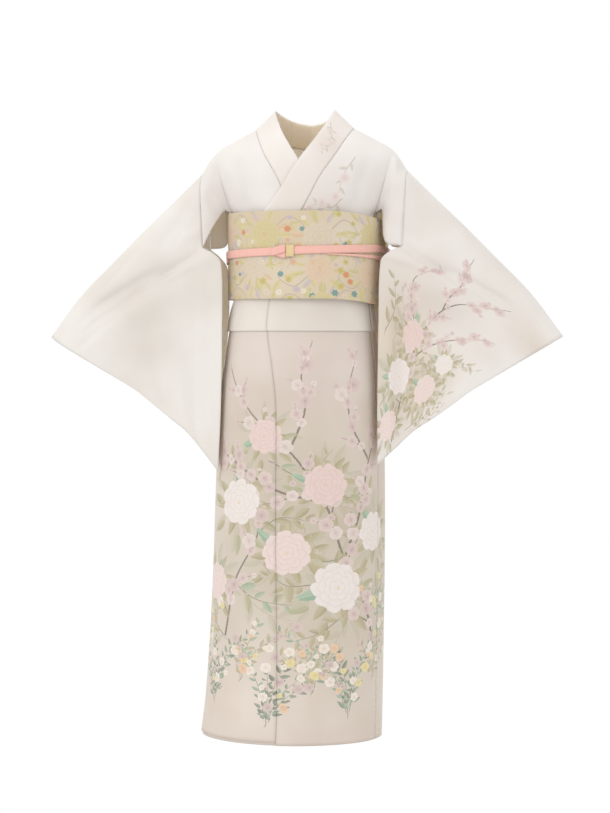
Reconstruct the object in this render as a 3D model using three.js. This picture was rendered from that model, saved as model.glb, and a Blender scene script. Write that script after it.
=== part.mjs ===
// A worn homongi kimono with its own obi and obijime cord, in millimetres.
// +Z is up, the front faces -Y, and +X is the wearer's left.
// The origin is the point between the shoulders, level with the base of the neck.
// "down" is the distance below that point. "around" runs round the body from the
// centre front at 0 to the centre back at 1, positive on the wearer's left.
import * as THREE from "three";

// Cloth and cord thicknesses, and the gaps between pieces
const SILK_WALL = 1.5;
const COLLAR_WALL = 2.4;
const OBI_WALL = 2.2;
const HAND_WALL = 3.4;
const SEAM_GAP = 0.0005;
const TOUCH_GAP = 0.4;
const HAND_GAP = 0.8;
const SLEEVE_GAP = 1.0;

// The body of the garment from the shoulder to the hem
const OBI_TOP = 174;
const OBI_BOTTOM = 344;
const SLIT_END = 262;
const SLIT_OPEN = 0.06;
const SLIT_START = 0.02;
const SLIT_START_SPAN = 60;
const TUCK_FOLD = 405;
const TUCK_TOP = 302;
const HEM = 1213;
const OVERLAP_HEM = 1207;
const SIDE_SEAM = 0.40;
const FOLD_RADIUS = 1.25;
const SKIRT_OUT = 1.2;
const TUCK_MIDDLE_OUT = SKIRT_OUT + 2 * FOLD_RADIUS;
const TUCK_OUTER_OUT = TUCK_MIDDLE_OUT + 2 * FOLD_RADIUS;

// Cross sections of the body: an ellipse for each height
const BODY_SECTIONS = [
  { down: 110, halfWidth: 140, halfDepth: 92, centre: 0 },
  { down: 150, halfWidth: 138, halfDepth: 96, centre: 0 },
  { down: 200, halfWidth: 135, halfDepth: 97, centre: 0 },
  { down: 260, halfWidth: 132, halfDepth: 94, centre: 0 },
  { down: 344, halfWidth: 132, halfDepth: 93.5, centre: 0 },
  { down: 405, halfWidth: 140, halfDepth: 103, centre: 0 },
  { down: 460, halfWidth: 151, halfDepth: 111, centre: -2 },
  { down: 520, halfWidth: 159, halfDepth: 116, centre: -4 },
  { down: 687, halfWidth: 166, halfDepth: 122, centre: -7 },
  { down: 867, halfWidth: 169, halfDepth: 126, centre: -10 },
  { down: 1004, halfWidth: 171, halfDepth: 129, centre: -14 },
  { down: 1137, halfWidth: 175, halfDepth: 133, centre: -20 },
  { down: 1213, halfWidth: 179, halfDepth: 136, centre: -26 },
];

// How far the upper lap lies outside the under lap, wider where both are tucked
const LAP_STEP = [
  { down: 0, step: 3.4 },
  { down: 174, step: 3.6 },
  { down: 292, step: 9.2 },
  { down: 410, step: 9.2 },
  { down: 480, step: 3.2 },
  { down: 1213, step: 3.2 },
];

// The seam between the front and the overlap panel, on the upper lap
const OVERLAP_SEAM = [
  { down: 172, around: 0.02 },
  { down: 205, around: -0.043 },
  { down: 250, around: -0.08 },
  { down: 344, around: -0.125 },
  { down: 405, around: -0.13 },
  { down: 475, around: -0.096 },
  { down: 547, around: -0.07 },
  { down: 690, around: -0.061 },
  { down: 870, around: -0.053 },
  { down: 1213, around: -0.021 },
];

// The outer edge of the overlap panel: the collar line, then the free edge
const OVERLAP_EDGE = [
  { down: 222, around: -0.073 },
  { down: 255, around: -0.137 },
  { down: 290, around: -0.198 },
  { down: 344, around: -0.36 },
  { down: 392, around: -0.455 },
  { down: 430, around: -0.47 },
  { down: 1213, around: -0.47 },
];

// The shoulder fold, from the collar out to the sleeve seam
const SHOULDER = [
  { across: 0, x: 98, y: 4, z: -5 },
  { across: 0.32, x: 136, y: 2, z: -25 },
  { across: 0.68, x: 177, y: 0, z: -50 },
  { across: 1, x: 205, y: 0, z: -90 },
];

// The sleeve seam, from the shoulder fold down the front; the back is its mirror
const ARMHOLE = [
  { along: 0, x: 205, y: 0, z: -90 },
  { along: 0.18, x: 205, y: -30, z: -103 },
  { along: 0.4, x: 204, y: -42, z: -136 },
  { along: 0.7, x: 201, y: -44, z: -190 },
  { along: 1, x: 199, y: -42, z: -240 },
];
// The slack lower edge from the top of the obi out to the foot of the sleeve seam: it
// is pulled up in front on the wearer's right, and hangs lower elsewhere
const SLACK_PULLED = [
  { along: 0.36, x: 158, y: -24, z: -165 },
  { along: 0.7, x: 180, y: -36, z: -200 },
  { along: 1, x: 199, y: -42, z: -240 },
];
const SLACK_LOW = [
  { along: 0.36, x: 158, y: -24, z: -165 },
  { along: 0.66, x: 164, y: -40, z: -230 },
  { along: 1, x: 199, y: -42, z: -240 },
];

// The collar on the wearer's left: its sewn edge and its folded edge, from the
// centre back over the shoulder to its end under the obi
const COLLAR = [
  { along: -0.5, x: 0, y: 108, z: -38, topX: 0, topY: 94, topZ: 13 },
  { along: -0.33, x: 52, y: 92, z: -29, topX: 32, topY: 80, topZ: 19 },
  { along: -0.15, x: 86, y: 52, z: -14, topX: 53, topY: 44, topZ: 28 },
  { along: 0, x: 98, y: 4, z: -5, topX: 59, topY: 3, topZ: 32 },
  { along: 0.15, x: 90, y: -30, z: -22, topX: 49, topY: -28, topZ: 8 },
  { along: 0.38, x: 72, y: -67, z: -58, topX: 30, topY: -62, topZ: -27 },
  { along: 0.68, x: 40, y: -94, z: -110, topX: -4, topY: -91, topZ: -78 },
  { along: 1, x: 11, y: -105, z: -172, topX: -36, topY: -97, topZ: -130 },
];
// How far the middle of the band crowns over the chest, on the upper and under lap
const COLLAR_CROWN = { over: 1.5, under: 0.5 };
const COLLAR_UNDER_OBI = [
  { down: 174, x: 7.8, topX: -36, topDown: 130 },
  { down: 205, x: -22, topX: -66, topDown: 170 },
  { down: 250, x: -58, topX: -102, topDown: 218 },
  { down: 286, x: -84, topX: -126, topDown: 256 },
];

// The sleeve: its top fold over the arm, and its lower fold from the inner corner
// to the end of the wrist opening
const SLEEVE_TOP = [
  { along: 0, x: 205, y: 0, z: -90 },
  { along: 0.2, x: 266, y: -6, z: -150 },
  { along: 0.4, x: 326, y: -12, z: -208 },
  { along: 0.6, x: 388, y: -18, z: -271 },
  { along: 0.8, x: 449, y: -24, z: -334 },
  { along: 1, x: 512, y: -30, z: -418 },
];
const SLEEVE_BOTTOM = [
  { along: 0, x: 158, y: -66, z: -676 },
  { along: 0.2, x: 190, y: -62, z: -641 },
  { along: 0.4, x: 226, y: -58, z: -604 },
  { along: 0.6, x: 262, y: -55, z: -578 },
  { along: 0.8, x: 299, y: -52, z: -550 },
  { along: 1, x: 334, y: -50, z: -523 },
];
// The free inner edges of the sleeve, below the seam, in front and behind
const SLEEVE_SEAM_SHARE = 0.25;
const SLEEVE_INNER_FRONT = [
  { along: 0.25, x: 199, y: -42, z: -240 },
  { along: 0.31, x: 173, y: -55, z: -253 },
  { along: 0.36, x: 158, y: -59, z: -272 },
  { along: 0.55, x: 155, y: -61, z: -400 },
  { along: 0.8, x: 155, y: -64, z: -560 },
  { along: 1, x: 158, y: -66, z: -676 },
];
const SLEEVE_INNER_BACK = [
  { along: 0.25, x: 199, y: 42, z: -240 },
  { along: 0.31, x: 179, y: 45, z: -256 },
  { along: 0.37, x: 163, y: 46, z: -282 },
  { along: 0.55, x: 160, y: 38, z: -400 },
  { along: 0.8, x: 174, y: 4, z: -560 },
  { along: 0.93, x: 174, y: -38, z: -640 },
  { along: 1, x: 158, y: -66, z: -676 },
];
// Half the width of the wrist opening, from its top to its end
const WRIST_BULGE = [
  { along: 0, out: 0 },
  { along: 0.07, out: 19 },
  { along: 0.2, out: 28 },
  { along: 0.45, out: 23 },
  { along: 0.75, out: 11 },
  { along: 1, out: 1.7 },
];
// The trough under the arm, from the armpit to the wrist
const TROUGH_DEPTH = 13;
const TROUGH_AT_BODY = 0.35;
const TROUGH_AT_WRIST = 0.17;
const TROUGH_WIDTH = 0.07;
// How far the lower corner of each sleeve moves from the table
const LOWER_CORNER = {
  left: { x: -5, z: 8 },
  right: { x: 6, z: -8 },
};

// The obi: two turns, then a drum behind with its tail and hand
const OBI_HALF_WIDTH = 150;
const OBI_HALF_DEPTH = 114;
const OBI_TURN_STEP = 3;
const OBI_START_TURN = 0.1;
const OBI_END_TURN = 1.9;
const OBI_STEP_FROM = 0.92;
const OBI_STEP_SPAN = 0.16;
const OBI_DROOP = 13;
const DRUM_HALF_WIDTH = 150;
const DRUM_BEND = 14;
const DRUM_PROFILE = [
  { along: 0, y: 118.3, down: 178 },
  { along: 0.05, y: 122, down: 152 },
  { along: 0.11, y: 144, down: 138 },
  { along: 0.17, y: 166, down: 146 },
  { along: 0.23, y: 180, down: 175 },
  { along: 0.36, y: 188, down: 245 },
  { along: 0.48, y: 189, down: 310 },
  { along: 0.6, y: 184, down: 372 },
  { along: 0.69, y: 172, down: 410 },
  { along: 0.75, y: 153, down: 424 },
  { along: 0.82, y: 133, down: 418 },
  { along: 0.88, y: 124.9, down: 398 },
  { along: 1, y: 121.0, down: 336 },
];
const TAIL_PROFILE = [
  { along: 0, y: 118.2, down: 330 },
  { along: 0.4, y: 118.5, down: 400 },
  { along: 0.75, y: 125, down: 455 },
  { along: 1, y: 129, down: 494 },
];
const HAND_TOP = 187;
const HAND_BOTTOM = 326;
const HAND_FROM = 0.655;

// The obijime: a flat braided cord over the middle of the obi
const CORD_DOWN = 253;
const CORD_WIDTH = 15.5;
const CORD_THICKNESS = 3.2;
const CORD_LIFT = OBI_TURN_STEP + OBI_WALL / 2 + TOUCH_GAP + CORD_THICKNESS / 2;
const CORD_BACK_HALF_WIDTH = 179.6;
const CORD_BACK_HALF_DEPTH = 163.6;
const CORD_BACK_FROM = 0.5;
const CORD_BACK_SPAN = 0.16;
const KNOT_AROUND = -0.071;
const BAND_AROUND = -0.022;

// The colours of the silk, the obi and the cord
const IVORY = 0xf1ebe2;
const BLUSH = 0xe6dad0;
const SAND = 0xdfd0ba;
const PINK = 0xf2c4b4;
const GOLD = 0xdcc08e;

const model = new THREE.Group();

const lerp = (a, b, t) => a + (b - a) * t;

function smooth(t) {
  const c = Math.min(1, Math.max(0, t));
  return c * c * (3 - 2 * c);
}

// Reads a column of a table by a cubic through its rows
function read(table, by, at, name) {
  const last = table.length - 1;
  if (at <= table[0][by]) return table[0][name];
  if (at >= table[last][by]) return table[last][name];
  let i = 0;
  while (table[i + 1][by] < at) i += 1;
  const slope = (k) => {
    const before = table[Math.max(0, k - 1)];
    const after = table[Math.min(last, k + 1)];
    return (after[name] - before[name]) / (after[by] - before[by]);
  };
  const step = table[i + 1][by] - table[i][by];
  const t = (at - table[i][by]) / step;
  const a = table[i][name];
  const b = table[i + 1][name];
  const ma = slope(i) * step;
  const mb = slope(i + 1) * step;
  return (
    a * (1 + 2 * t) * (1 - t) ** 2 +
    ma * t * (1 - t) ** 2 +
    b * t * t * (3 - 2 * t) +
    mb * t * t * (t - 1)
  );
}

function readPoint(table, by, at) {
  return new THREE.Vector3(
    read(table, by, at, "x"), read(table, by, at, "y"), read(table, by, at, "z"));
}

// A point of the body's surface, pushed out from it
function onBody(around, down, out) {
  const angle = Math.PI * around;
  const halfWidth = read(BODY_SECTIONS, "down", down, "halfWidth") + out;
  const halfDepth = read(BODY_SECTIONS, "down", down, "halfDepth") + out;
  const centre = read(BODY_SECTIONS, "down", down, "centre");
  return new THREE.Vector3(
    centre + halfWidth * Math.sin(angle), -halfDepth * Math.cos(angle), -down);
}

// The two laps: 1 is the wearer's left, on top; -1 is the wearer's right, under it.
// The step between them fades out towards the sides
const LAP_REACH = 0.3;

function lapOut(half, around, down) {
  const rise = smooth((LAP_REACH - around) / (2 * LAP_REACH));
  const level = half > 0 ? rise : rise - 1;
  return level * read(LAP_STEP, "down", down, "step");
}

// A grid of points made into a closed wall of cloth
function wall(name, grid, thickness, colour, roughness, keep = () => true, closed = false) {
  const rows = grid.length;
  const columns = grid[0].length;
  const cellColumns = closed ? columns : columns - 1;
  const index = (i, j) => i * columns + (j % columns);
  const cells = [];
  for (let i = 0; i < rows - 1; i += 1) {
    for (let j = 0; j < cellColumns; j += 1) {
      if (!keep(i, j)) continue;
      cells.push([index(i, j), index(i + 1, j), index(i + 1, j + 1), index(i, j + 1)]);
    }
  }
  const points = grid.flat();
  const normals = points.map(() => new THREE.Vector3());
  const edges = new Map();
  for (const cell of cells) {
    const [a, b, c, d] = cell.map((k) => points[k]);
    const across = new THREE.Vector3().subVectors(c, a);
    const other = new THREE.Vector3().subVectors(d, b);
    const normal = across.cross(other).normalize();
    cell.forEach((k) => normals[k].add(normal));
    for (let e = 0; e < 4; e += 1) {
      const from = cell[e];
      const to = cell[(e + 1) % 4];
      if (!edges.delete(`${to}_${from}`)) edges.set(`${from}_${to}`, [from, to]);
    }
  }
  const used = new Map();
  const vertices = [];
  for (const cell of cells) {
    for (const k of cell) {
      if (used.has(k)) continue;
      used.set(k, vertices.length / 3);
      const offset = normals[k].normalize().multiplyScalar(thickness / 2);
      vertices.push(...points[k].clone().add(offset).toArray());
      vertices.push(...points[k].clone().sub(offset).toArray());
    }
  }
  const faces = [];
  const outer = (k) => used.get(k);
  const inner = (k) => used.get(k) + 1;
  for (const [a, b, c, d] of cells) {
    faces.push(outer(a), outer(b), outer(c), outer(a), outer(c), outer(d));
    faces.push(inner(c), inner(b), inner(a), inner(d), inner(c), inner(a));
  }
  for (const [from, to] of edges.values()) {
    faces.push(outer(to), outer(from), inner(from), outer(to), inner(from), inner(to));
  }
  addMesh(name, vertices, faces, colour, roughness);
}

function addMesh(name, vertices, faces, colour, roughness, metalness = 0) {
  const geometry = new THREE.BufferGeometry();
  geometry.setAttribute("position", new THREE.Float32BufferAttribute(vertices, 3));
  geometry.setIndex(faces);
  geometry.computeVertexNormals();
  const material = new THREE.MeshStandardMaterial({ color: colour, roughness, metalness });
  const mesh = new THREE.Mesh(geometry, material);
  mesh.name = name;
  model.add(mesh);
}

// A patch between four edge curves: shoulder, lower edge, inner edge and outer edge
function patch(top, bottom, inside, outside, u, w) {
  const corners = new THREE.Vector3()
    .addScaledVector(top(0), (1 - u) * (1 - w))
    .addScaledVector(top(1), u * (1 - w))
    .addScaledVector(bottom(0), (1 - u) * w)
    .addScaledVector(bottom(1), u * w);
  return new THREE.Vector3()
    .addScaledVector(top(u), 1 - w)
    .addScaledVector(bottom(u), w)
    .addScaledVector(inside(w), 1 - u)
    .addScaledVector(outside(w), u)
    .sub(corners);
}

// The fold of the tuck: out over the skirt, back up inside and down as the skirt
function tuckPath(from, to) {
  const path = [];
  for (const down of [OBI_TOP, 200, 222, 255, 290, 335, 385]) {
    if (down >= from) path.push({ down, out: TUCK_OUTER_OUT });
  }
  const turns = [
    { centre: TUCK_FOLD, out: TUCK_OUTER_OUT - FOLD_RADIUS, sign: 1 },
    { centre: TUCK_TOP, out: TUCK_MIDDLE_OUT - FOLD_RADIUS, sign: -1 },
  ];
  for (const turn of turns) {
    for (let k = 0; k <= 4; k += 1) {
      const angle = (Math.PI * k) / 4;
      path.push({
        down: turn.centre + turn.sign * FOLD_RADIUS * Math.sin(angle),
        out: turn.out + FOLD_RADIUS * Math.cos(angle),
      });
    }
    if (turn.sign > 0) path.push({ down: 350, out: TUCK_MIDDLE_OUT });
  }
  for (const down of [345, 385, 415, 455, 510, 600, 700, 820, 940, 1060, 1140]) {
    path.push({ down, out: SKIRT_OUT });
  }
  path.push({ down: to, out: SKIRT_OUT });
  return path;
}

// The body of one half: back and front in one length, over the shoulder
const TORSO_COLUMNS = 8;
const WEB_COLUMNS = 3;
const TORSO_SHARE = 0.72;
const BODICE_ROWS = 10;

function armhole(along, face) {
  const point = readPoint(ARMHOLE, "along", along);
  point.y *= face;
  return point;
}

// The side seam opens above the end of the slit, the back a little more
function sideEdge(face, down) {
  const open = smooth((SLIT_END - down) / (SLIT_END - OBI_TOP)) * SLIT_OPEN;
  if (face > 0) return SIDE_SEAM + open - SEAM_GAP;
  const backOpen = SLIT_START * smooth((SLIT_END - down) / SLIT_START_SPAN);
  return SIDE_SEAM + backOpen + 1.5 * open + SEAM_GAP;
}

// The front's edge along the collar, down to the top of the obi
function neckEdge(half, t) {
  const point = readPoint(COLLAR, "along", t);
  const around = read(OVERLAP_SEAM, "down", OBI_TOP, "around");
  const lap = lapOut(half, half * around, OBI_TOP);
  point.y -= smooth(t / 0.4) * lap;
  const foot = onBody(around, OBI_TOP, TUCK_OUTER_OUT + lap);
  return point.lerp(foot, smooth((t - 0.68) / 0.32));
}

function bodicePoint(half, face, column, w) {
  const share = column <= TORSO_COLUMNS
    ? (TORSO_SHARE * column) / TORSO_COLUMNS
    : TORSO_SHARE + ((1 - TORSO_SHARE) * (column - TORSO_COLUMNS)) / WEB_COLUMNS;
  const inner = face > 0 ? read(OVERLAP_SEAM, "down", OBI_TOP, "around") : 1 - SEAM_GAP;
  const torso = (part) => {
    const around = lerp(inner, sideEdge(face, OBI_TOP), part);
    const lap = face > 0 ? lapOut(half, half * around, OBI_TOP) : 0;
    return onBody(around, OBI_TOP, TUCK_OUTER_OUT + lap);
  };
  const shoulder = (u) => readPoint(SHOULDER, "across", u);
  const lower = (u) => {
    if (u <= TORSO_SHARE) return torso(u / TORSO_SHARE);
    const out = (u - TORSO_SHARE) / (1 - TORSO_SHARE);
    const slack = face > 0 && half < 0 ? SLACK_PULLED : SLACK_LOW;
    const point = readPoint(slack, "along", out);
    point.y *= face;
    return torso(1).lerp(point, Math.min(1, out / slack[0].along));
  };
  const neck = (t) => {
    if (face > 0) return neckEdge(half, t);
    const turn = 0.4;
    if (t < turn) {
      const point = readPoint(COLLAR, "along", (-0.5 * t) / turn);
      point.x = Math.max(point.x, 0.25);
      return point;
    }
    const start = readPoint(COLLAR, "along", -0.5);
    start.x = 0.25;
    return start.lerp(torso(0), (t - turn) / (1 - turn));
  };
  return patch(shoulder, lower, neck, (t) => armhole(t, face), share, w);
}

function bodyHalf(name, half) {
  const columns = TORSO_COLUMNS + WEB_COLUMNS;
  const grid = [];
  const webRows = new Set();
  const side = (face) => {
    const rows = [];
    tuckPath(OBI_TOP, HEM).forEach(({ down, out }, k) => {
      if (k === 0) return;
      const inner = face > 0 ? read(OVERLAP_SEAM, "down", down, "around") : 1;
      const row = [];
      for (let j = 0; j <= columns; j += 1) {
        const part = Math.min(1, j / TORSO_COLUMNS);
        const around = lerp(inner + face * SEAM_GAP, sideEdge(face, down), part);
        const lap = face > 0 ? lapOut(half, half * around, down) : 0;
        row.push(onBody(around, down, out + lap));
      }
      rows.push(row);
    });
    return rows;
  };
  const bodice = (face) => {
    const rows = [];
    for (let i = 1; i <= BODICE_ROWS; i += 1) {
      const row = [];
      for (let j = 0; j <= columns; j += 1) {
        row.push(bodicePoint(half, face, j, i / BODICE_ROWS));
      }
      rows.push(row);
    }
    return rows;
  };
  const shoulderRow = [];
  for (let j = 0; j <= columns; j += 1) shoulderRow.push(bodicePoint(half, 1, j, 0));
  grid.push(...side(-1).reverse(), ...bodice(-1).reverse());
  const firstWeb = grid.length - BODICE_ROWS;
  grid.push(shoulderRow, ...bodice(1));
  const lastWeb = grid.length - 1;
  grid.push(...side(1));
  for (let i = firstWeb; i < lastWeb; i += 1) webRows.add(i);
  const keep = (i, j) => j < TORSO_COLUMNS || webRows.has(i);
  finishHalf(name, half, grid, keep, SILK_WALL, BLUSH);
}

// Mirrors a grid to the wearer's right where needed, keeping its faces outward
function finishHalf(name, half, grid, keep, thickness, colour) {
  if (half > 0) {
    wall(name, grid, thickness, colour, 0.7, keep);
    return;
  }
  const last = grid[0].length - 1;
  const mirrored = grid.map((row) => row.map((point) => mirrorBody(point)).reverse());
  wall(name, mirrored, thickness, colour, 0.7, (i, j) => keep(i, last - 1 - j));
}

// The body's sections lean to the wearer's right lower down, so a mirrored point
// keeps its distance from the section's centre
function mirrorBody(point) {
  const centre = read(BODY_SECTIONS, "down", -point.z, "centre");
  return new THREE.Vector3(2 * centre - point.x, point.y, point.z);
}

function overlapPanel(name, half) {
  const columns = 7;
  const grid = tuckPath(222, OVERLAP_HEM).map(({ down, out }) => {
    const inner = read(OVERLAP_SEAM, "down", down, "around") - SEAM_GAP;
    const outer = read(OVERLAP_EDGE, "down", down, "around");
    const row = [];
    for (let j = 0; j <= columns; j += 1) {
      const around = lerp(outer, inner, j / columns);
      row.push(onBody(around, down, out + lapOut(half, half * around, down)));
    }
    return row;
  });
  finishHalf(name, half, grid, () => true, SILK_WALL, BLUSH);
}

// The collar band, from its end on one front round the neck to the other
function collar() {
  const grid = [];
  const bandRows = (half) => {
    const rows = [];
    const crown = half > 0 ? COLLAR_CROWN.over : COLLAR_CROWN.under;
    const stops = [-0.5, -0.375, -0.25, -0.125];
    for (let i = 0; i < BODICE_ROWS; i += 1) stops.push(i / BODICE_ROWS);
    for (const t of stops) {
      const folded = new THREE.Vector3(
        read(COLLAR, "along", t, "topX"),
        read(COLLAR, "along", t, "topY"),
        read(COLLAR, "along", t, "topZ"));
      const lapAround = (half * Math.asin(folded.x / 144)) / Math.PI;
      folded.y -= smooth(t / 0.4) * lapOut(half, lapAround, OBI_TOP);
      rows.push(bandRow(neckEdge(half, t), folded, crown * smooth(t / 0.3)));
    }
    for (const down of [OBI_TOP + 1, 190, 212, 235, 262, 286]) {
      const x = read(COLLAR_UNDER_OBI, "down", down, "x");
      const topX = read(COLLAR_UNDER_OBI, "down", down, "topX");
      const topDown = read(COLLAR_UNDER_OBI, "down", down, "topDown");
      rows.push(bandRow(chest(half, x, down), chest(half, topX, topDown), crown));
    }
    return rows;
  };
  const left = bandRows(1);
  const right = bandRows(-1).map((row) => row.map((p) => mirrorBody(p)));
  grid.push(...right.reverse());
  grid.push(...left.slice(1));
  wall("collar", grid, COLLAR_WALL, IVORY, 0.65);
}

// A point of the chest in front, for a height and a distance from the centre
function chest(half, x, down) {
  const centre = read(BODY_SECTIONS, "down", down, "centre");
  const width = read(BODY_SECTIONS, "down", down, "halfWidth") + TUCK_OUTER_OUT;
  const guess = (half * Math.asin((x - centre) / (width + 4))) / Math.PI;
  const lap = lapOut(half, guess, down);
  const around = Math.asin((x - centre) / (width + lap)) / Math.PI;
  return new THREE.Vector3(x, onBody(around, down, TUCK_OUTER_OUT + lap).y, -down);
}

function bandRow(sewn, folded, crown) {
  const columns = 4;
  const row = [];
  const width = sewn.distanceTo(folded);
  const clear = (SILK_WALL / 2 + TOUCH_GAP) / width;
  for (let j = 0; j <= columns; j += 1) {
    const part = lerp(clear, 1, j / columns);
    const point = sewn.clone().lerp(folded, part);
    point.y -= 4 * crown * part * (1 - part);
    row.push(point);
  }
  return row;
}

// A sleeve: a flat bag held open by the arm along its top, open at the wrist and
// along its inner edge
const SLEEVE_RINGS = 12;
const SLEEVE_ROWS = 15;
const SLEEVE_SEAM_ROWS = 5;
// Half the distance between the middles of the walls along the sleeve's foot, and how
// flat the bag hangs away from its edges
const FOOT_HALF_GAP = 1.7;
const BAG_FLATNESS = 0.62;

function sleevePoint(side, face, r, w) {
  const top = (t) => {
    const point = readPoint(SLEEVE_TOP, "along", t);
    point.x += SLEEVE_GAP * (1 - t);
    return point;
  };
  const bottom = (t) => {
    const point = readPoint(SLEEVE_BOTTOM, "along", t);
    point.y -= face * FOOT_HALF_GAP;
    return point;
  };
  const inside = (t) => {
    if (t < SLEEVE_SEAM_SHARE) {
      const point = armhole(t / SLEEVE_SEAM_SHARE, face);
      point.x += SLEEVE_GAP * (1 + smooth(t / SLEEVE_SEAM_SHARE));
      return point;
    }
    const table = face > 0 ? SLEEVE_INNER_FRONT : SLEEVE_INNER_BACK;
    const point = readPoint(table, "along", t);
    const below = smooth((t - SLEEVE_SEAM_SHARE) / (1 - SLEEVE_SEAM_SHARE));
    point.x += SLEEVE_GAP * 2 * (1 - t);
    point.y -= face * FOOT_HALF_GAP * below;
    return point;
  };
  const wrist = (t) => {
    const point = top(1).lerp(readPoint(SLEEVE_BOTTOM, "along", 1), t);
    point.y -= face * read(WRIST_BULGE, "along", t, "out");
    return point;
  };
  const point = patch((t) => inside(t), (t) => wrist(t), top, bottom, w, r);
  const trough = lerp(TROUGH_AT_BODY, TROUGH_AT_WRIST, r);
  const sink = Math.exp(-(((w - trough) / TROUGH_WIDTH) ** 2)) * smooth(r / 0.25);
  point.y += face * TROUGH_DEPTH * sink * smooth((1 - r) / 0.4);
  const corner = LOWER_CORNER[side];
  const near = (1 - r) ** 2 * w * w;
  return point.add(new THREE.Vector3(corner.x * near, 0, corner.z * near));
}

// The rows down a sleeve, closer together along its seam
function sleeveRow(j) {
  if (j <= SLEEVE_SEAM_ROWS) return (SLEEVE_SEAM_SHARE * j) / SLEEVE_SEAM_ROWS;
  const below = (j - SLEEVE_SEAM_ROWS) / (SLEEVE_ROWS - SLEEVE_SEAM_ROWS);
  return lerp(SLEEVE_SEAM_SHARE, 1, below ** 1.1);
}

function sleeve(name, side) {
  const grid = [];
  for (let i = 0; i <= SLEEVE_RINGS; i += 1) {
    const r = i / SLEEVE_RINGS;
    const front = [];
    const back = [];
    for (let j = 0; j <= SLEEVE_ROWS; j += 1) {
      const w = sleeveRow(j);
      front.push(sleevePoint(side, 1, r, w));
      back.push(sleevePoint(side, -1, r, w));
    }
    for (let j = 2; j < SLEEVE_ROWS; j += 1) {
      const middle = front[j].clone().add(back[j]).multiplyScalar(0.5);
      const arc = Math.sin(Math.PI * Math.min(1, r * 1.2 + 0.02));
      const close = 1 - BAG_FLATNESS * arc * smooth((sleeveRow(j) - 0.2) / 0.3);
      front[j].lerpVectors(middle, front[j], close);
      back[j].lerpVectors(middle, back[j], close);
    }
    const ring = [...front, ...back.slice(1).reverse()];
    grid.push(side === "left" ? ring : ring.map((p) => new THREE.Vector3(-p.x, p.y, p.z)).reverse());
  }
  wall(name, grid, SILK_WALL, side === "left" ? BLUSH : IVORY, 0.7, () => true, true);
}

// The obi round the body: two turns of stiff cloth, from behind and back again
function obiPoint(turn, down) {
  const angle = Math.PI + 2 * Math.PI * turn;
  const out = OBI_TURN_STEP * smooth((turn - OBI_STEP_FROM) / OBI_STEP_SPAN);
  const droop = OBI_DROOP * Math.max(0, Math.sin(angle)) ** 4;
  return new THREE.Vector3(
    (OBI_HALF_WIDTH + out) * Math.sin(angle),
    -(OBI_HALF_DEPTH + out) * Math.cos(angle),
    -down - droop);
}

function obiWrap() {
  const steps = 80;
  const grid = [];
  for (let i = 0; i <= steps; i += 1) {
    const row = [];
    for (const down of [OBI_TOP, 215, 300, OBI_BOTTOM]) {
      row.push(obiPoint(lerp(OBI_START_TURN, OBI_END_TURN, i / steps), down));
    }
    grid.push(row.reverse());
  }
  wall("obi_wrap", grid, OBI_WALL, SAND, 0.55);
}

function drumPiece(name, profile, steps, halfWidth, thickness) {
  const columns = 8;
  const grid = [];
  for (let i = 0; i <= steps; i += 1) {
    const y = read(profile, "along", i / steps, "y");
    const down = read(profile, "along", i / steps, "down");
    const row = [];
    for (let j = 0; j <= columns; j += 1) {
      const x = lerp(halfWidth, -halfWidth, j / columns);
      row.push(new THREE.Vector3(x, y - DRUM_BEND * (x / DRUM_HALF_WIDTH) ** 2, -down));
    }
    grid.push(row);
  }
  wall(name, grid, thickness, SAND, 0.55);
}

// The route of the cord round the obi and, behind, over the hand inside the drum
function cordPoint(around, down, out) {
  const angle = Math.PI * around;
  const back = smooth((Math.abs(around) - CORD_BACK_FROM) / CORD_BACK_SPAN);
  const halfWidth = lerp(OBI_HALF_WIDTH + CORD_LIFT, CORD_BACK_HALF_WIDTH, back) + out;
  const halfDepth = lerp(OBI_HALF_DEPTH + CORD_LIFT, CORD_BACK_HALF_DEPTH, back) + out;
  return new THREE.Vector3(halfWidth * Math.sin(angle), -halfDepth * Math.cos(angle), -down);
}

function obiHand() {
  const columns = 20;
  const lift = -(CORD_THICKNESS / 2 + HAND_GAP + HAND_WALL / 2);
  const grid = [];
  for (const down of [HAND_TOP, 222, 257, 292, HAND_BOTTOM]) {
    const row = [];
    for (let j = 0; j <= columns; j += 1) {
      const around = lerp(HAND_FROM, 2 - HAND_FROM, j / columns);
      row.push(cordPoint(around > 1 ? around - 2 : around, down, lift));
    }
    grid.push(row);
  }
  wall("obi_hand", grid, HAND_WALL, SAND, 0.55);
}

// A strap with bevelled edges, swept along rows of points
function strap(name, rows, colour, closed) {
  const vertices = [];
  const faces = [];
  const sides = 8;
  for (const { centre, outward, width, thickness } of rows) {
    const up = new THREE.Vector3(0, 0, 1);
    const corners = [
      [0.5, 0.28], [0.38, 0.5], [-0.38, 0.5], [-0.5, 0.28],
      [-0.5, -0.28], [-0.38, -0.5], [0.38, -0.5], [0.5, -0.28],
    ];
    for (const [high, out] of corners) {
      const point = centre.clone()
        .addScaledVector(up, high * width)
        .addScaledVector(outward, out * thickness);
      vertices.push(...point.toArray());
    }
  }
  const rings = rows.length;
  const last = closed ? rings : rings - 1;
  for (let i = 0; i < last; i += 1) {
    for (let k = 0; k < sides; k += 1) {
      const a = i * sides + k;
      const b = i * sides + ((k + 1) % sides);
      const c = ((i + 1) % rings) * sides + ((k + 1) % sides);
      const d = ((i + 1) % rings) * sides + k;
      faces.push(a, c, d, a, b, c);
    }
  }
  if (!closed) {
    for (let k = 1; k < sides - 1; k += 1) {
      const end = (rings - 1) * sides;
      faces.push(0, k + 1, k, end, end + k, end + k + 1);
    }
  }
  addMesh(name, vertices, faces, colour, 0.6);
}

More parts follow.
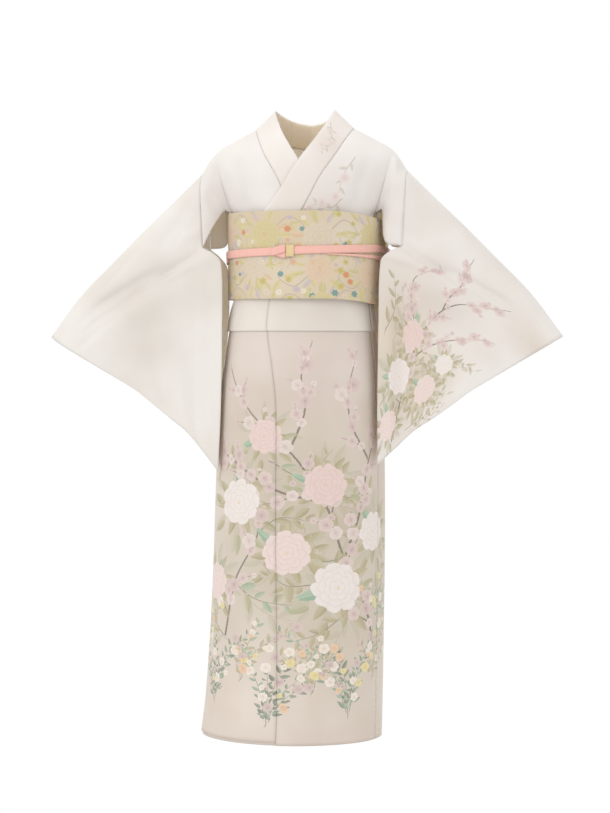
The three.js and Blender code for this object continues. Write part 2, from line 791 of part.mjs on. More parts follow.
function cordRow(around, down, width, thickness, out = 0) {
  const centre = cordPoint(around, down, out);
  const ahead = cordPoint(around + 0.004, down, out);
  const behind = cordPoint(around - 0.004, down, out);
  const tangent = ahead.sub(behind).normalize();
  const outward = new THREE.Vector3(tangent.y, -tangent.x, 0);
  return { centre, outward, width, thickness };
}

function obijime() {
  const steps = 60;
  const rows = [];
  for (let i = 0; i < steps; i += 1) {
    const around = lerp(-1, 1, i / steps);
    rows.push(cordRow(around, CORD_DOWN, CORD_WIDTH, CORD_THICKNESS));
  }
  strap("obijime", rows, PINK, true);
}

// The ends of the cord, tucked in below it at each side
function cordTail(name, from, to, startHeight, endHeight) {
  const rows = [];
  const steps = 12;
  for (let i = 0; i <= steps; i += 1) {
    const height = lerp(startHeight, endHeight, i / steps);
    const down = CORD_DOWN + CORD_WIDTH / 2 + TOUCH_GAP + height / 2;
    rows.push(cordRow(lerp(from, to, i / steps), down, height, CORD_THICKNESS * 0.8, -0.2));
  }
  strap(name, from < to ? rows : rows.reverse(), PINK, false);
}

// The knot: the cord turned up over itself, fullest in its middle
const KNOT_HALF_LENGTH = 0.026;
const KNOT_END = { height: 7.5, thickness: 2.4 };
const KNOT_SWELL = { height: 20, thickness: 3.2 };

function cordKnot() {
  const rows = [];
  const steps = 8;
  for (let i = 0; i <= steps; i += 1) {
    const t = lerp(-1, 1, i / steps);
    const swell = Math.sqrt(1 - (t * 0.8) ** 2);
    const thickness = KNOT_END.thickness + KNOT_SWELL.thickness * swell;
    const height = KNOT_END.height + KNOT_SWELL.height * swell * (t < 0.3 ? 1 : 0.8);
    const out = CORD_THICKNESS / 2 + TOUCH_GAP + thickness / 2;
    rows.push(cordRow(KNOT_AROUND + KNOT_HALF_LENGTH * t, CORD_DOWN - 1, height, thickness, out));
  }
  strap("obijime_knot", rows, PINK, false);
}

// The woven gold band beside the knot
const BAND_HALF_LENGTH = 0.0185;
const BAND_THICKNESS = 1.8;
const BAND_HEIGHT = CORD_WIDTH + 6;

function cordBand() {
  const rows = [];
  const out = CORD_THICKNESS / 2 + TOUCH_GAP + BAND_THICKNESS / 2;
  for (const t of [-1, -0.5, 0, 0.5, 1]) {
    const around = BAND_AROUND + BAND_HALF_LENGTH * t;
    rows.push(cordRow(around, CORD_DOWN, BAND_HEIGHT, BAND_THICKNESS, out));
  }
  strap("obijime_band", rows, GOLD, false);
}

bodyHalf("body_left", 1);
bodyHalf("body_right", -1);
overlapPanel("overlap_left", 1);
overlapPanel("overlap_right", -1);
collar();
sleeve("sleeve_left", "left");
sleeve("sleeve_right", "right");
obiWrap();
drumPiece("obi_drum", DRUM_PROFILE, 26, DRUM_HALF_WIDTH, OBI_WALL);
drumPiece("obi_tail", TAIL_PROFILE, 8, DRUM_HALF_WIDTH - 1, OBI_WALL);
obiHand();
obijime();
cordTail("obijime_tail_left", 0.12, 0.49, 2, 9);
cordTail("obijime_tail_right", -0.4, -0.49, 7, 10);
cordKnot();
cordBand();

export default model;
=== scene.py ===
# A worn homongi kimono with its obi and its obijime cord, dressed over the packed
# solids. The tables are in millimetres, as a maker measures, and each mesh is made
# in metres. "down" is the distance below the shoulder point, and "around" runs from
# the centre front at 0 to the centre back at 1, positive on the wearer's left.
import math
import random

import bpy
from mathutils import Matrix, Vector


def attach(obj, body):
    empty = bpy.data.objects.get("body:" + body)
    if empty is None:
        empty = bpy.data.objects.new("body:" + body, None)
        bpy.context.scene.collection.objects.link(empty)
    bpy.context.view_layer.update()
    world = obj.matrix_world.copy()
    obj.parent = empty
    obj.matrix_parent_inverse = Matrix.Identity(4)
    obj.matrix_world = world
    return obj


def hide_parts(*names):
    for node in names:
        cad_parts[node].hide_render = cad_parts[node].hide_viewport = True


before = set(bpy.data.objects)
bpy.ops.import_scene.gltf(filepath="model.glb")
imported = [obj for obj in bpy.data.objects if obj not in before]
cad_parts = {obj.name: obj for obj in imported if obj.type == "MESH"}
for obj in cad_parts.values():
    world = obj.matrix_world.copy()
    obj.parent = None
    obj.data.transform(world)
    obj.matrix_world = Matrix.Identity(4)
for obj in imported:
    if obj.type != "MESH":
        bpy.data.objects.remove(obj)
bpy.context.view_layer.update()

# View
# The camera stands four metres away, a little to the wearer's left, at waist height
camera_data = bpy.data.cameras.new("view")
camera_data.lens = 88.6
camera_data.sensor_width = 36
camera = bpy.data.objects.new("view", camera_data)
camera.location = (0.557, -3.961, -0.440)
camera.rotation_euler = (math.radians(88.325), 0, math.radians(8))
bpy.context.scene.collection.objects.link(camera)
bpy.context.scene.camera = camera
bpy.context.scene.view_settings.view_transform = "Standard"


# Light
# A white room with a broad lamp in front on the viewer's left, a weaker one on the
# right and one above
def table(columns, *rows):
    """Rows of values with named columns."""
    names = columns.split()
    return [dict(zip(names, row)) for row in rows]


LAMPS = table(
    "name x y z aim_z size watts",
    ("key_lamp", -2.4, -3.0, 1.3, -0.5, 2.2, 34),
    ("fill_lamp", 2.6, -2.6, 0.2, -0.6, 2.4, 8),
    ("top_lamp", -0.4, 0.4, 2.6, -0.6, 2.0, 14),
)
for row in LAMPS:
    lamp_data = bpy.data.lights.new(row["name"], "AREA")
    lamp_data.size = row["size"]
    lamp_data.energy = row["watts"]
    lamp = bpy.data.objects.new(row["name"], lamp_data)
    place = Vector((row["x"], row["y"], row["z"]))
    lamp.location = place
    aim = Vector((0, 0, row["aim_z"])) - place
    lamp.rotation_euler = aim.to_track_quat("-Z", "Y").to_euler()
    bpy.context.scene.collection.objects.link(lamp)
world = bpy.data.worlds.new("studio")
world.use_nodes = True
world.node_tree.nodes["Background"].inputs["Color"].default_value = (1, 1, 1, 1)
world.node_tree.nodes["Background"].inputs["Strength"].default_value = 1.0
bpy.context.scene.world = world


# Shader nodes
# Short ways to add and join nodes, used by every material below
def node(tree, kind, **settings):
    made = tree.nodes.new(kind)
    for key, value in settings.items():
        setattr(made, key, value)
    return made


def feed(tree, socket, value):
    if hasattr(value, "is_output"):
        tree.links.new(value, socket)
    else:
        socket.default_value = value


def calc(tree, operation, *values, clamp=False):
    made = node(tree, "ShaderNodeMath", operation=operation, use_clamp=clamp)
    for socket, value in zip(made.inputs, values):
        feed(tree, socket, value)
    return made.outputs[0]


def mixed(tree, share, first, second):
    made = node(tree, "ShaderNodeMix", data_type="RGBA")
    for socket, value in zip((made.inputs[0], made.inputs[6], made.inputs[7]), (share, first, second)):
        feed(tree, socket, value)
    return made.outputs[2]


def ramp(tree, share, *stops, steps=False):
    made = node(tree, "ShaderNodeValToRGB")
    made.color_ramp.interpolation = "CONSTANT" if steps else "LINEAR"
    elements = made.color_ramp.elements
    while len(elements) < len(stops):
        elements.new(0.5)
    for element, (place, colour) in zip(elements, stops):
        element.position = place
        element.color = paint(colour)
    feed(tree, made.inputs[0], share)
    return made.outputs[0]


def paint(colour):
    """Linear colour of an sRGB colour given as three numbers up to 255."""
    channels = [c / 255 for c in colour]
    return tuple(c / 12.92 if c <= 0.04045 else ((c + 0.055) / 1.055) ** 2.4 for c in channels) + (1.0,)


# Kimono body
# Each half is one length of lined crepe silk, back and front over the shoulder, with
# the extra length folded up into a tuck at the waist and the skirt hanging below it
OBI_TOP = 174
OBI_BOTTOM = 344
SLIT_END = 262
TUCK_FOLD = 405
TUCK_TOP = 302
HEM = 1213
OVERLAP_HEM = 1207
SIDE_SEAM = 0.40
FOLD_RADIUS = 1.25
SKIRT_OUT = 1.2
TUCK_MIDDLE_OUT = SKIRT_OUT + 2 * FOLD_RADIUS
TUCK_OUTER_OUT = TUCK_MIDDLE_OUT + 2 * FOLD_RADIUS
SILK_WALL = 1.3
SEAM_GAP = 0.0004
# Flat places: millimetres for each half turn, how much wider the bodice lies than it
# is seen, and how far off the back of the bodice and the inside of the tuck are kept
HALF_GIRTH = 470
BODICE_SPREAD = 1.1
BACK_FLAT = 5000
FRONT_FLAT_END = 4000
HIDDEN_FLAT = 9000

BODY_SECTIONS = table(
    "down width depth centre",
    (110, 140, 92, 0),
    (150, 138, 96, 0),
    (200, 135, 97, 0),
    (260, 132, 94, 0),
    (344, 132, 93.5, 0),
    (405, 140, 103, 0),
    (460, 151, 111, -2),
    (520, 159, 116, -4),
    (687, 166, 122, -7),
    (867, 169, 126, -10),
    (1004, 171, 129, -14),
    (1137, 175, 133, -20),
    (1213, 179, 136, -26),
)
LAP_STEP = table(
    "down step", (0, 3.4), (174, 3.6), (292, 9.2), (410, 9.2), (480, 3.2), (1213, 3.2))
OVERLAP_SEAM = table(
    "down around",
    (172, 0.02), (205, -0.043), (250, -0.08), (344, -0.125), (405, -0.13),
    (475, -0.096), (547, -0.07), (690, -0.061), (870, -0.053), (1213, -0.021))
OVERLAP_EDGE = table(
    "down around",
    (222, -0.073), (255, -0.137), (290, -0.198), (344, -0.36), (392, -0.455),
    (430, -0.47), (1213, -0.47))
SHOULDER = table(
    "across x y z", (0, 98, 4, -5), (0.32, 136, 2, -25), (0.68, 177, 0, -50), (1, 205, 0, -90))
ARMHOLE = table(
    "along x y z",
    (0, 205, 0, -90), (0.18, 205, -30, -103), (0.4, 204, -42, -136),
    (0.7, 201, -44, -190), (1, 199, -42, -240))
# The slack edge below the armpit is pulled up in front on the wearer's right only
SLACK_PULLED = table(
    "along x y z", (0.36, 158, -24, -165), (0.7, 180, -36, -200), (1, 199, -42, -240))
SLACK_LOW = table(
    "along x y z", (0.36, 158, -24, -165), (0.66, 164, -40, -230), (1, 199, -42, -240))
COLLAR = table(
    "along x y z topX topY topZ",
    (-0.5, 0, 108, -38, 0, 94, 13),
    (-0.33, 52, 92, -29, 32, 80, 19),
    (-0.15, 86, 52, -14, 53, 44, 28),
    (0, 98, 4, -5, 59, 3, 32),
    (0.15, 90, -30, -22, 49, -28, 8),
    (0.38, 72, -67, -58, 30, -62, -27),
    (0.68, 40, -94, -110, -4, -91, -78),
    (1, 11, -105, -172, -36, -97, -130),
)
# Soft creases and troughs of the body: two ends in flat millimetres, then the
# crease's half width and height
BODY_CREASES = table(
    "u v to_u to_v wide high",
    (-96, 425, -118, 1190, 30, -2.4),
    (-30, 520, -44, 1200, 22, 1.6),
    (64, 440, 96, 1195, 34, -2.6),
    (140, 470, 150, 1200, 26, 1.8),
    (196, 430, 206, 1200, 30, -2.6),
    (-190, 430, -196, 1195, 28, 1.6),
    (300, 430, 318, 1200, 34, -2.8),
    (390, 420, 402, 1200, 30, 2.2),
    (-300, 430, -318, 1200, 34, -2.8),
    (-390, 420, -402, 1200, 30, 2.2),
    (-70, 352, -60, 404, 10, -1.1),
    (96, 350, 104, 404, 14, -0.9),
    (-150, 352, -162, 402, 14, 0.9),
    (34, 352, 24, 404, 16, 0.8),
)
BODICE_CREASES = table(
    "u v to_u to_v wide high",
    (150, 70, 118, 168, 13, -3.2),
    (186, 96, 150, 172, 10, 2.6),
    (210, 130, 176, 196, 9, -3.0),
    (120, 60, 92, 160, 14, 2.0),
    (-150, 66, -120, 168, 13, -3.0),
    (-184, 100, -148, 172, 10, 2.6),
    (-208, 128, -178, 200, 9, -2.8),
    (-118, 58, -94, 160, 14, 1.8),
    (0, 5060, 0, 5168, 16, -1.6),
    (90, 5060, 70, 5168, 16, -2.2),
    (-92, 5064, -72, 5168, 16, -2.2),
    (160, 5080, 128, 5170, 12, 2.2),
    (-160, 5080, -128, 5170, 12, 2.2),
)
# Washes of colour dyed into the silk: a centre and reach in flat millimetres, a
# colour and its strength
IVORY = (226, 221, 217)
TUCK_IVORY = (220, 212, 203)
SKIRT_IVORY = (214, 203, 192)
WASHES = table(
    "u v across tall colour strength",
    (-40, 460, 130, 80, (217, 205, 198), 0.7),
    (90, 500, 110, 90, (212, 199, 191), 0.7),
    (-120, 600, 80, 120, (205, 193, 180), 0.7),
    (40, 660, 130, 110, (196, 185, 168), 0.8),
    (70, 800, 150, 120, (193, 182, 165), 0.9),
    (-70, 900, 110, 110, (197, 187, 170), 0.75),
    (120, 960, 120, 110, (198, 187, 170), 0.75),
    (0, 1060, 150, 60, (206, 194, 179), 0.6),
    (-90, 1130, 90, 50, (220, 208, 196), 0.6),
    (30, 1216, 260, 30, (206, 190, 178), 0.6),
    (40, 178, 60, 34, (216, 206, 200), 0.35),
    (-330, 1010, 150, 150, (202, 192, 178), 0.6),
    (330, 960, 150, 170, (200, 190, 175), 0.6),
)


def read(rows, by, at, name):
    """A column of a table, read by a cubic through its rows."""
    last = len(rows) - 1
    if at <= rows[0][by]:
        return rows[0][name]
    if at >= rows[last][by]:
        return rows[last][name]
    i = 0
    while rows[i + 1][by] < at:
        i += 1

    def slope(k):
        before = rows[max(0, k - 1)]
        after = rows[min(last, k + 1)]
        return (after[name] - before[name]) / (after[by] - before[by])

    step = rows[i + 1][by] - rows[i][by]
    t = (at - rows[i][by]) / step
    start = rows[i][name] * (1 + 2 * t) * (1 - t) ** 2 + slope(i) * step * t * (1 - t) ** 2
    end = rows[i + 1][name] * t * t * (3 - 2 * t) + slope(i + 1) * step * t * t * (t - 1)
    return start + end


def read_point(rows, by, at):
    return Vector((read(rows, by, at, "x"), read(rows, by, at, "y"), read(rows, by, at, "z")))


def lerp(a, b, t):
    return a + (b - a) * t


def smooth(t):
    c = min(1, max(0, t))
    return c * c * (3 - 2 * c)


sections_read = {}


def section(down):
    if down not in sections_read:
        sections_read[down] = [read(BODY_SECTIONS, "down", down, n) for n in ("width", "depth", "centre")]
    return sections_read[down]


def on_body(around, down, out):
    angle = math.pi * around
    width, depth, centre = section(down)
    return Vector((centre + (width + out) * math.sin(angle), -(depth + out) * math.cos(angle), -down))


def lap_out(half, around, down):
    rise = smooth((0.3 - around) / 0.6)
    level = rise if half > 0 else rise - 1
    return level * read(LAP_STEP, "down", down, "step")


def patch(top, bottom, inside, outside, u, w):
    corners = top(0) * ((1 - u) * (1 - w)) + top(1) * (u * (1 - w))
    corners = corners + bottom(0) * ((1 - u) * w) + bottom(1) * (u * w)
    return top(u) * (1 - w) + bottom(u) * w + inside(w) * (1 - u) + outside(w) * u - corners


def steps(start, end, size):
    count = max(1, round(abs(end - start) / size))
    return [lerp(start, end, i / count) for i in range(count + 1)]


def tuck_path(start, end):
    """Down the outside of the tuck, up inside it and down again as the skirt."""
    path = [(down, TUCK_OUTER_OUT) for down in steps(start, TUCK_FOLD - 8, 8)]
    for k in range(9):
        angle = math.pi * k / 8
        path.append((TUCK_FOLD + FOLD_RADIUS * math.sin(angle),
                     TUCK_OUTER_OUT - FOLD_RADIUS + FOLD_RADIUS * math.cos(angle)))
    path += [(down, TUCK_MIDDLE_OUT) for down in steps(TUCK_FOLD - 12, TUCK_TOP + 12, 16)]
    for k in range(9):
        angle = math.pi * k / 8
        path.append((TUCK_TOP - FOLD_RADIUS * math.sin(angle),
                     TUCK_MIDDLE_OUT - FOLD_RADIUS + FOLD_RADIUS * math.cos(angle)))
    path += [(down, SKIRT_OUT) for down in steps(TUCK_TOP + 10, end, 8)]
    return path


def crease(rows, u, v):
    """How far the creases of a table lift the cloth at a flat place."""
    lift = 0.0
    for row in rows:
        du = row["to_u"] - row["u"]
        dv = row["to_v"] - row["v"]
        along = ((u - row["u"]) * du + (v - row["v"]) * dv) / (du * du + dv * dv)
        if along < -0.3 or along > 1.3:
            continue
        near = min(1, max(0, along))
        away = math.hypot(u - row["u"] - near * du, v - row["v"] - near * dv)
        if away < 3 * row["wide"]:
            ends = smooth((along + 0.12) / 0.3) * smooth((1.12 - along) / 0.3)
            lift += row["high"] * ends * math.exp(-((away / row["wide"]) ** 2))
    return lift


def wash(u, v, ground=IVORY, rows=WASHES):
    colour = paint(ground)
    for row in rows:
        x = (u - row["u"]) / row["across"]
        y = (v - row["v"]) / row["tall"]
        if x * x + y * y > 7:
            continue
        share = row["strength"] * math.exp(-x * x - y * y)
        colour = tuple(lerp(a, b, share) for a, b in zip(colour, paint(row["colour"])))
    return colour


# Painted flora
# The design is dyed colour with no relief. A face of the cloth keeps, for each layer,
# where its corners lie on the motif there, and the materials draw the motif from that
FAR = (9.0, 9.0, 0.0)
LAYERS = ("stem", "back_leaf", "leaf", "small_bloom", "large_bloom")


def turned(x, y, angle):
    return (x * math.cos(angle) + y * math.sin(angle), y * math.cos(angle) - x * math.sin(angle))


def curve_points(points, count=18):
    """A smooth run of points through the ones given."""
    rows = [dict(at=i, x=p[0], y=p[1]) for i, p in enumerate(points)]
    places = [lerp(0, len(points) - 1, i / count) for i in range(count + 1)]
    return [(read(rows, "at", at, "x"), read(rows, "at", at, "y")) for at in places]


class Flora:
    def __init__(self, seed):
        self.layers = {name: [] for name in LAYERS}
        self.rng = random.Random(seed)

    def spot(self, layer, u, v, size, turn, tone):
        self.layers[layer].append(("spot", u, v, size, turn, tone))

    def stem(self, points, wide, tone):
        self.layers["stem"].append(("line", curve_points(points), wide, tone))

    def leafy(self, points, wide, stem_tone, leaf, tone, every, layer="leaf", skip=0.1):
        """A stem with leaves on both sides of it."""
        run = curve_points(points, 26)
        self.layers["stem"].append(("line", run, wide, stem_tone))
        length = sum(math.dist(a, b) for a, b in zip(run, run[1:]))
        count = max(2, round(length / every))
        for k in range(count):
            share = skip + (1 - skip) * (k + 0.6) / count
            i = min(len(run) - 2, int(share * (len(run) - 1)))
            (u, v), (u2, v2) = run[i], run[i + 1]
            side = 1 if k % 2 else -1
            heading = math.atan2(v2 - v, u2 - u) + side * self.rng.uniform(0.6, 1.05)
            size = leaf * self.rng.uniform(0.75, 1.15) * (1.05 - 0.35 * share)
            u += math.cos(heading) * size * 1.02
            v += math.sin(heading) * size * 1.02
            self.spot(layer, u, v, size, heading, min(0.99, max(0, tone + self.rng.uniform(-0.12, 0.12))))

    def branch(self, points, wide, twigs, reach, tones=(0.0, 0.15, 0.3, 0.5)):
        """A woody branch with short crooked twigs that carry small blooms and buds."""
        run = curve_points(points, 22)
        self.layers["stem"].append(("line", run, wide, 0.1))
        for k in range(twigs):
            share = 0.12 + 0.86 * (k + self.rng.uniform(0.2, 0.8)) / twigs
            i = min(len(run) - 2, int(share * (len(run) - 1)))
            (u, v), (u2, v2) = run[i], run[i + 1]
            side = 1 if k % 2 else -1
            heading = math.atan2(v2 - v, u2 - u) + side * self.rng.uniform(0.45, 0.95)
            length = reach * self.rng.uniform(0.6, 1.2) * (1.15 - 0.6 * share)
            bend = self.rng.uniform(-0.4, 0.4)
            middle = (u + 0.5 * length * math.cos(heading), v + 0.5 * length * math.sin(heading))
            tip = (middle[0] + 0.5 * length * math.cos(heading + bend),
                   middle[1] + 0.5 * length * math.sin(heading + bend))
            self.layers["stem"].append(("line", curve_points(((u, v), middle, tip), 8), wide * 0.5, 0.1))
            for place, least, most, tone in ((middle, 11, 16, 0), ((u, v), 8, 15, 2), (tip, 4, 7, 1)):
                size = self.rng.uniform(least, most)
                turn = self.rng.uniform(0, 6)
                self.spot("small_bloom", *place, size, turn, tones[(k + tone) % 4])

    def low_plant(self, u, v, tall, lean, tone):
        """A plant of thin arching stems with small leaves and blooms, from its foot."""
        for k in range(5):
            spread = (k - 2) * self.rng.uniform(0.2, 0.36) * tall + lean * tall
            height = tall * self.rng.uniform(0.55, 1.1)
            points = ((u, v), (u + 0.3 * spread, v - 0.55 * height), (u + spread, v - height))
            self.leafy(points, 1.0, 0.5, self.rng.uniform(8, 12), tone + 0.1 * (k % 3 - 1), 9.5)
            for i in range(3):
                share = 0.4 + 0.28 * i
                self.spot("small_bloom", u + spread * share ** 1.4 + self.rng.uniform(-12, 12),
                          v - height * share + self.rng.uniform(-9, 9), self.rng.uniform(5, 10.5),
                          self.rng.uniform(0, 6), self.rng.choice((0.52, 0.62, 0.7, 0.8, 0.9)))

    def ring_of_leaves(self, u, v, away, leaf, tones, count, start=0.0, layer="leaf"):
        for k in range(count):
            heading = start + 2 * math.pi * k / count + self.rng.uniform(-0.16, 0.16)
            size = leaf * self.rng.uniform(0.85, 1.15)
            tone = tones[k % len(tones)]
            self.spot(layer, u + math.cos(heading) * away, v + math.sin(heading) * away, size, heading, tone)

    def places(self, layer, corners):
        """Where each face's corners lie on the motif under it, for one layer."""
        middles = []
        for face in corners:
            u = sum(c[0] for c in face) / 4
            v = sum(c[1] for c in face) / 4
            reach = max(math.dist(c, (u, v)) for c in face)
            middles.append((u, v, reach))
        found = [FAR] * (4 * len(corners))
        nearest = [9.0] * len(corners)
        for motif in self.layers[layer]:
            if motif[0] == "spot":
                _, mu, mv, size, turn, tone = motif
                for k, (u, v, reach) in enumerate(middles):
                    if reach > 40 or abs(u - mu) > size + reach or abs(v - mv) > size + reach:
                        continue
                    away = math.hypot(u - mu, v - mv) / size
                    if away > 1 + reach / size or away > nearest[k]:
                        continue
                    nearest[k] = away
                    for c, (cu, cv) in enumerate(corners[k]):
                        x, y = turned(cu - mu, cv - mv, turn)
                        found[4 * k + c] = (x / size, y / size, tone)
            else:
                _, run, wide, tone = motif
                lo_u = min(p[0] for p in run)
                hi_u = max(p[0] for p in run)
                lo_v = min(p[1] for p in run)
                hi_v = max(p[1] for p in run)
                for k, (u, v, reach) in enumerate(middles):
                    pad = wide + reach
                    if reach > 40 or u < lo_u - pad or u > hi_u + pad or v < lo_v - pad or v > hi_v + pad:
                        continue
                    away, _ = beside(run, u, v)
                    if abs(away) > pad or abs(away) / 100 > nearest[k]:
                        continue
                    nearest[k] = abs(away) / 100
                    for c, (cu, cv) in enumerate(corners[k]):
                        off, along = beside(run, cu, cv)
                        found[4 * k + c] = (off / (wide * (1.05 - 0.75 * along)), along, tone)
        return found


def beside(run, u, v):
    """Signed distance from a run of points, and how far along it."""
    best = (1e9, 0.0)
    for i, ((au, av), (bu, bv)) in enumerate(zip(run, run[1:])):
        du, dv = bu - au, bv - av
        t = ((u - au) * du + (v - av) * dv) / (du * du + dv * dv)
        near = min(1, max(0, t))
        away = math.hypot(u - au - near * du, v - av - near * dv)
        if away < abs(best[0]):
            sign = 1 if (u - au) * dv - (v - av) * du > 0 else -1
            best = (sign * away, (i + near) / (len(run) - 1))
    return best


flora = Flora(11)
# Large many-petalled blooms: a place in flat millimetres, a size, a turn and a tone
LARGE_BLOOMS = table(
    "u v size turn tone",
    (84, 906, 50, 0.3, 0.1),
    (-8, 838, 44, 1.1, 0.35),
    (-104, 742, 47, 2.0, 0.1),
    (60, 706, 41, 0.7, 0.6),
    (-170, 902, 38, 2.6, 0.35),
    (166, 800, 40, 1.6, 0.1),
    (-52, 612, 34, 0.2, 0.6),
    (366, 930, 46, 0.9, 0.1),
    (300, 1010, 38, 0.4, 0.35),
    (-330, 960, 42, 1.4, 0.1),
    (-396, 1040, 36, 0.8, 0.35),
)
# Woody branches: how wide, how many twigs and how long they reach
BRANCHES = (
    (((178, 1060), (150, 960), (96, 850), (58, 740), (-6, 640), (-90, 560), (-150, 480)), 4.4, 13, 70),
    (((96, 850), (128, 760), (150, 660), (196, 570), (214, 470)), 3.6, 8, 56),
    (((-6, 640), (20, 560), (12, 490), (30, 430)), 3.0, 5, 44),
    (((58, 740), (-20, 720), (-90, 680), (-160, 640), (-206, 590)), 3.4, 7, 52),
    (((-130, 1010), (-110, 900), (-60, 800), (-80, 700)), 3.4, 5, 50),
    (((150, 660), (110, 590), (104, 520), (128, 450)), 3.0, 5, 44),
    (((366, 1040), (340, 900), (380, 780), (350, 640)), 4.0, 8, 60),
    (((-400, 1040), (-360, 920), (-390, 800), (-340, 660)), 4.0, 8, 60),
)
for points, wide, twigs, reach in BRANCHES:
    flora.branch(points, wide, twigs, reach)


def bloom_with_leaves(made, row):
    """A large bloom over two rings of leaves and a ring of shadow leaves."""
    u, v, size, turn = (row[name] for name in ("u", "v", "size", "turn"))
    made.spot("large_bloom", u, v, size, turn, row["tone"])
    made.ring_of_leaves(u, v, size * 1.06, size * 0.52, (0.1, 0.3, 0.1, 0.5, 0.25), 7, turn)
    made.ring_of_leaves(u, v + 0.35 * size, size * 1.45, size * 0.46, (0.2, 0.05, 0.35), 6, turn + 0.5)
    made.ring_of_leaves(u, v, size * 1.5, size * 0.62, (0.1, 0.3, 0.2), 9, turn + 0.4, "back_leaf")


for row in LARGE_BLOOMS:
    bloom_with_leaves(flora, row)
# Leafy sprays between the blooms, then low plants that rise from near the hem
SPRAYS = (
    ((150, 960), (190, 900), (224, 830), 19, 0.3),
    ((-60, 800), (-20, 770), (30, 776), 18, 0.1),
    ((-110, 900), (-60, 930), (0, 940), 19, 0.4),
    ((60, 740), (110, 730), (160, 712), 17, 0.2),
    ((-90, 680), (-130, 660), (-176, 690), 17, 0.1),
    ((96, 850), (40, 850), (20, 780), 16, 0.3),
    ((-130, 1010), (-170, 980), (-214, 960), 17, 0.3),
    ((120, 940), (60, 990), (10, 1010), 18, 0.15),
    ((40, 900), (-10, 900), (-50, 860), 17, 0.15),
    ((-40, 660), (20, 690), (70, 640), 15, 0.3),
)
for a, b, c, leaf, tone in SPRAYS:
    flora.leafy((a, b, c), 1.6, 0.5, leaf, tone, 19)
    shadow_run = (a, (b[0] + 20, b[1] + 26), (c[0] + 24, c[1] + 34))
    flora.leafy(shadow_run, 1.2, 0.9, leaf * 1.3, 0.2, 22, "back_leaf")
# Low plants: the place of a foot, how tall, how far it leans, and a tone
LOW_PLANTS = (
    (-150, 1140, 150, -0.1, 0.75), (-84, 1090, 110, 0.3, 0.3), (-30, 1176, 150, 0.2, 0.75),
    (44, 1110, 96, -0.2, 0.3), (112, 1160, 170, -0.15, 0.7), (170, 1090, 130, 0.2, 0.3),
    (206, 1010, 120, 0.0, 0.6), (-204, 1050, 130, 0.1, 0.3), (330, 1160, 120, 0.1, 0.7),
    (-330, 1160, 120, -0.1, 0.7), (410, 1150, 90, 0.1, 0.3), (-420, 1150, 90, 0.1, 0.3),
)
for foot_u, foot_v, tall, lean, tone in LOW_PLANTS:
    flora.low_plant(foot_u, foot_v, tall, lean, tone)
# A faint sprig on the wearer's left chest
flora.leafy(((92, 150), (70, 168), (40, 160), (18, 176)), 1.4, 0.9, 11, 0.2, 15, "back_leaf")
flora.leafy(((118, 70), (96, 104), (84, 150)), 1.3, 0.9, 10, 0.2, 15, "back_leaf")
for u, v, size in ((52, 158, 12), (80, 146, 10), (98, 110, 11), (26, 168, 9)):
    flora.spot("small_bloom", u, v, size, u, 0.2)


def group_of(name, inputs, outputs):
    tree = bpy.data.node_groups.new(name, "ShaderNodeTree")
    for label, kind in inputs:
        tree.interface.new_socket(name=label, in_out="INPUT", socket_type=kind)
    for label, kind in outputs:
        tree.interface.new_socket(name=label, in_out="OUTPUT", socket_type=kind)
    return tree, node(tree, "NodeGroupInput"), node(tree, "NodeGroupOutput")


def motif_group(name):
    """A group that draws one motif: from a place on it to its colour and cover."""
    return group_of(
        name, [("Place", "NodeSocketVector")],
        [("Colour", "NodeSocketColor"), ("Cover", "NodeSocketFloat")])


def noise(tree, place, scale, detail=2.0):
    made = node(tree, "ShaderNodeTexNoise")
    feed(tree, made.inputs["Vector"], place)
    made.inputs["Scale"].default_value = scale
    made.inputs["Detail"].default_value = detail
    return made.outputs[0]


def polar(tree, place):
    parts = node(tree, "ShaderNodeSeparateXYZ")
    feed(tree, parts.inputs[0], place)
    x, y, tone = parts.outputs
    square = calc(tree, "ADD", calc(tree, "MULTIPLY", x, x), calc(tree, "MULTIPLY", y, y))
    return x, y, tone, calc(tree, "SQRT", square), calc(tree, "ARCTAN2", y, x)


def petal_ring(tree, radius, angle, count, size, turn, depth, softness=40):
    """The cover and the drawn lines of one ring of petals."""
    phase = calc(tree, "MULTIPLY_ADD", angle, count / 2, turn)
    lobe = calc(tree, "POWER", calc(tree, "ABSOLUTE", calc(tree, "COSINE", phase)), 0.55)
    edge = calc(tree, "MULTIPLY_ADD", lobe, size * depth, size * (1 - depth))
    inside = calc(tree, "SUBTRACT", edge, radius)
    cover = calc(tree, "MULTIPLY", inside, softness, clamp=True)
    rim = calc(tree, "MULTIPLY_ADD", inside, -30, 1.25, clamp=True)
    split = calc(tree, "MULTIPLY_ADD", lobe, -6, 1.0, clamp=True)
    line = calc(tree, "MULTIPLY", calc(tree, "MAXIMUM", rim, split), cover)
    return cover, line


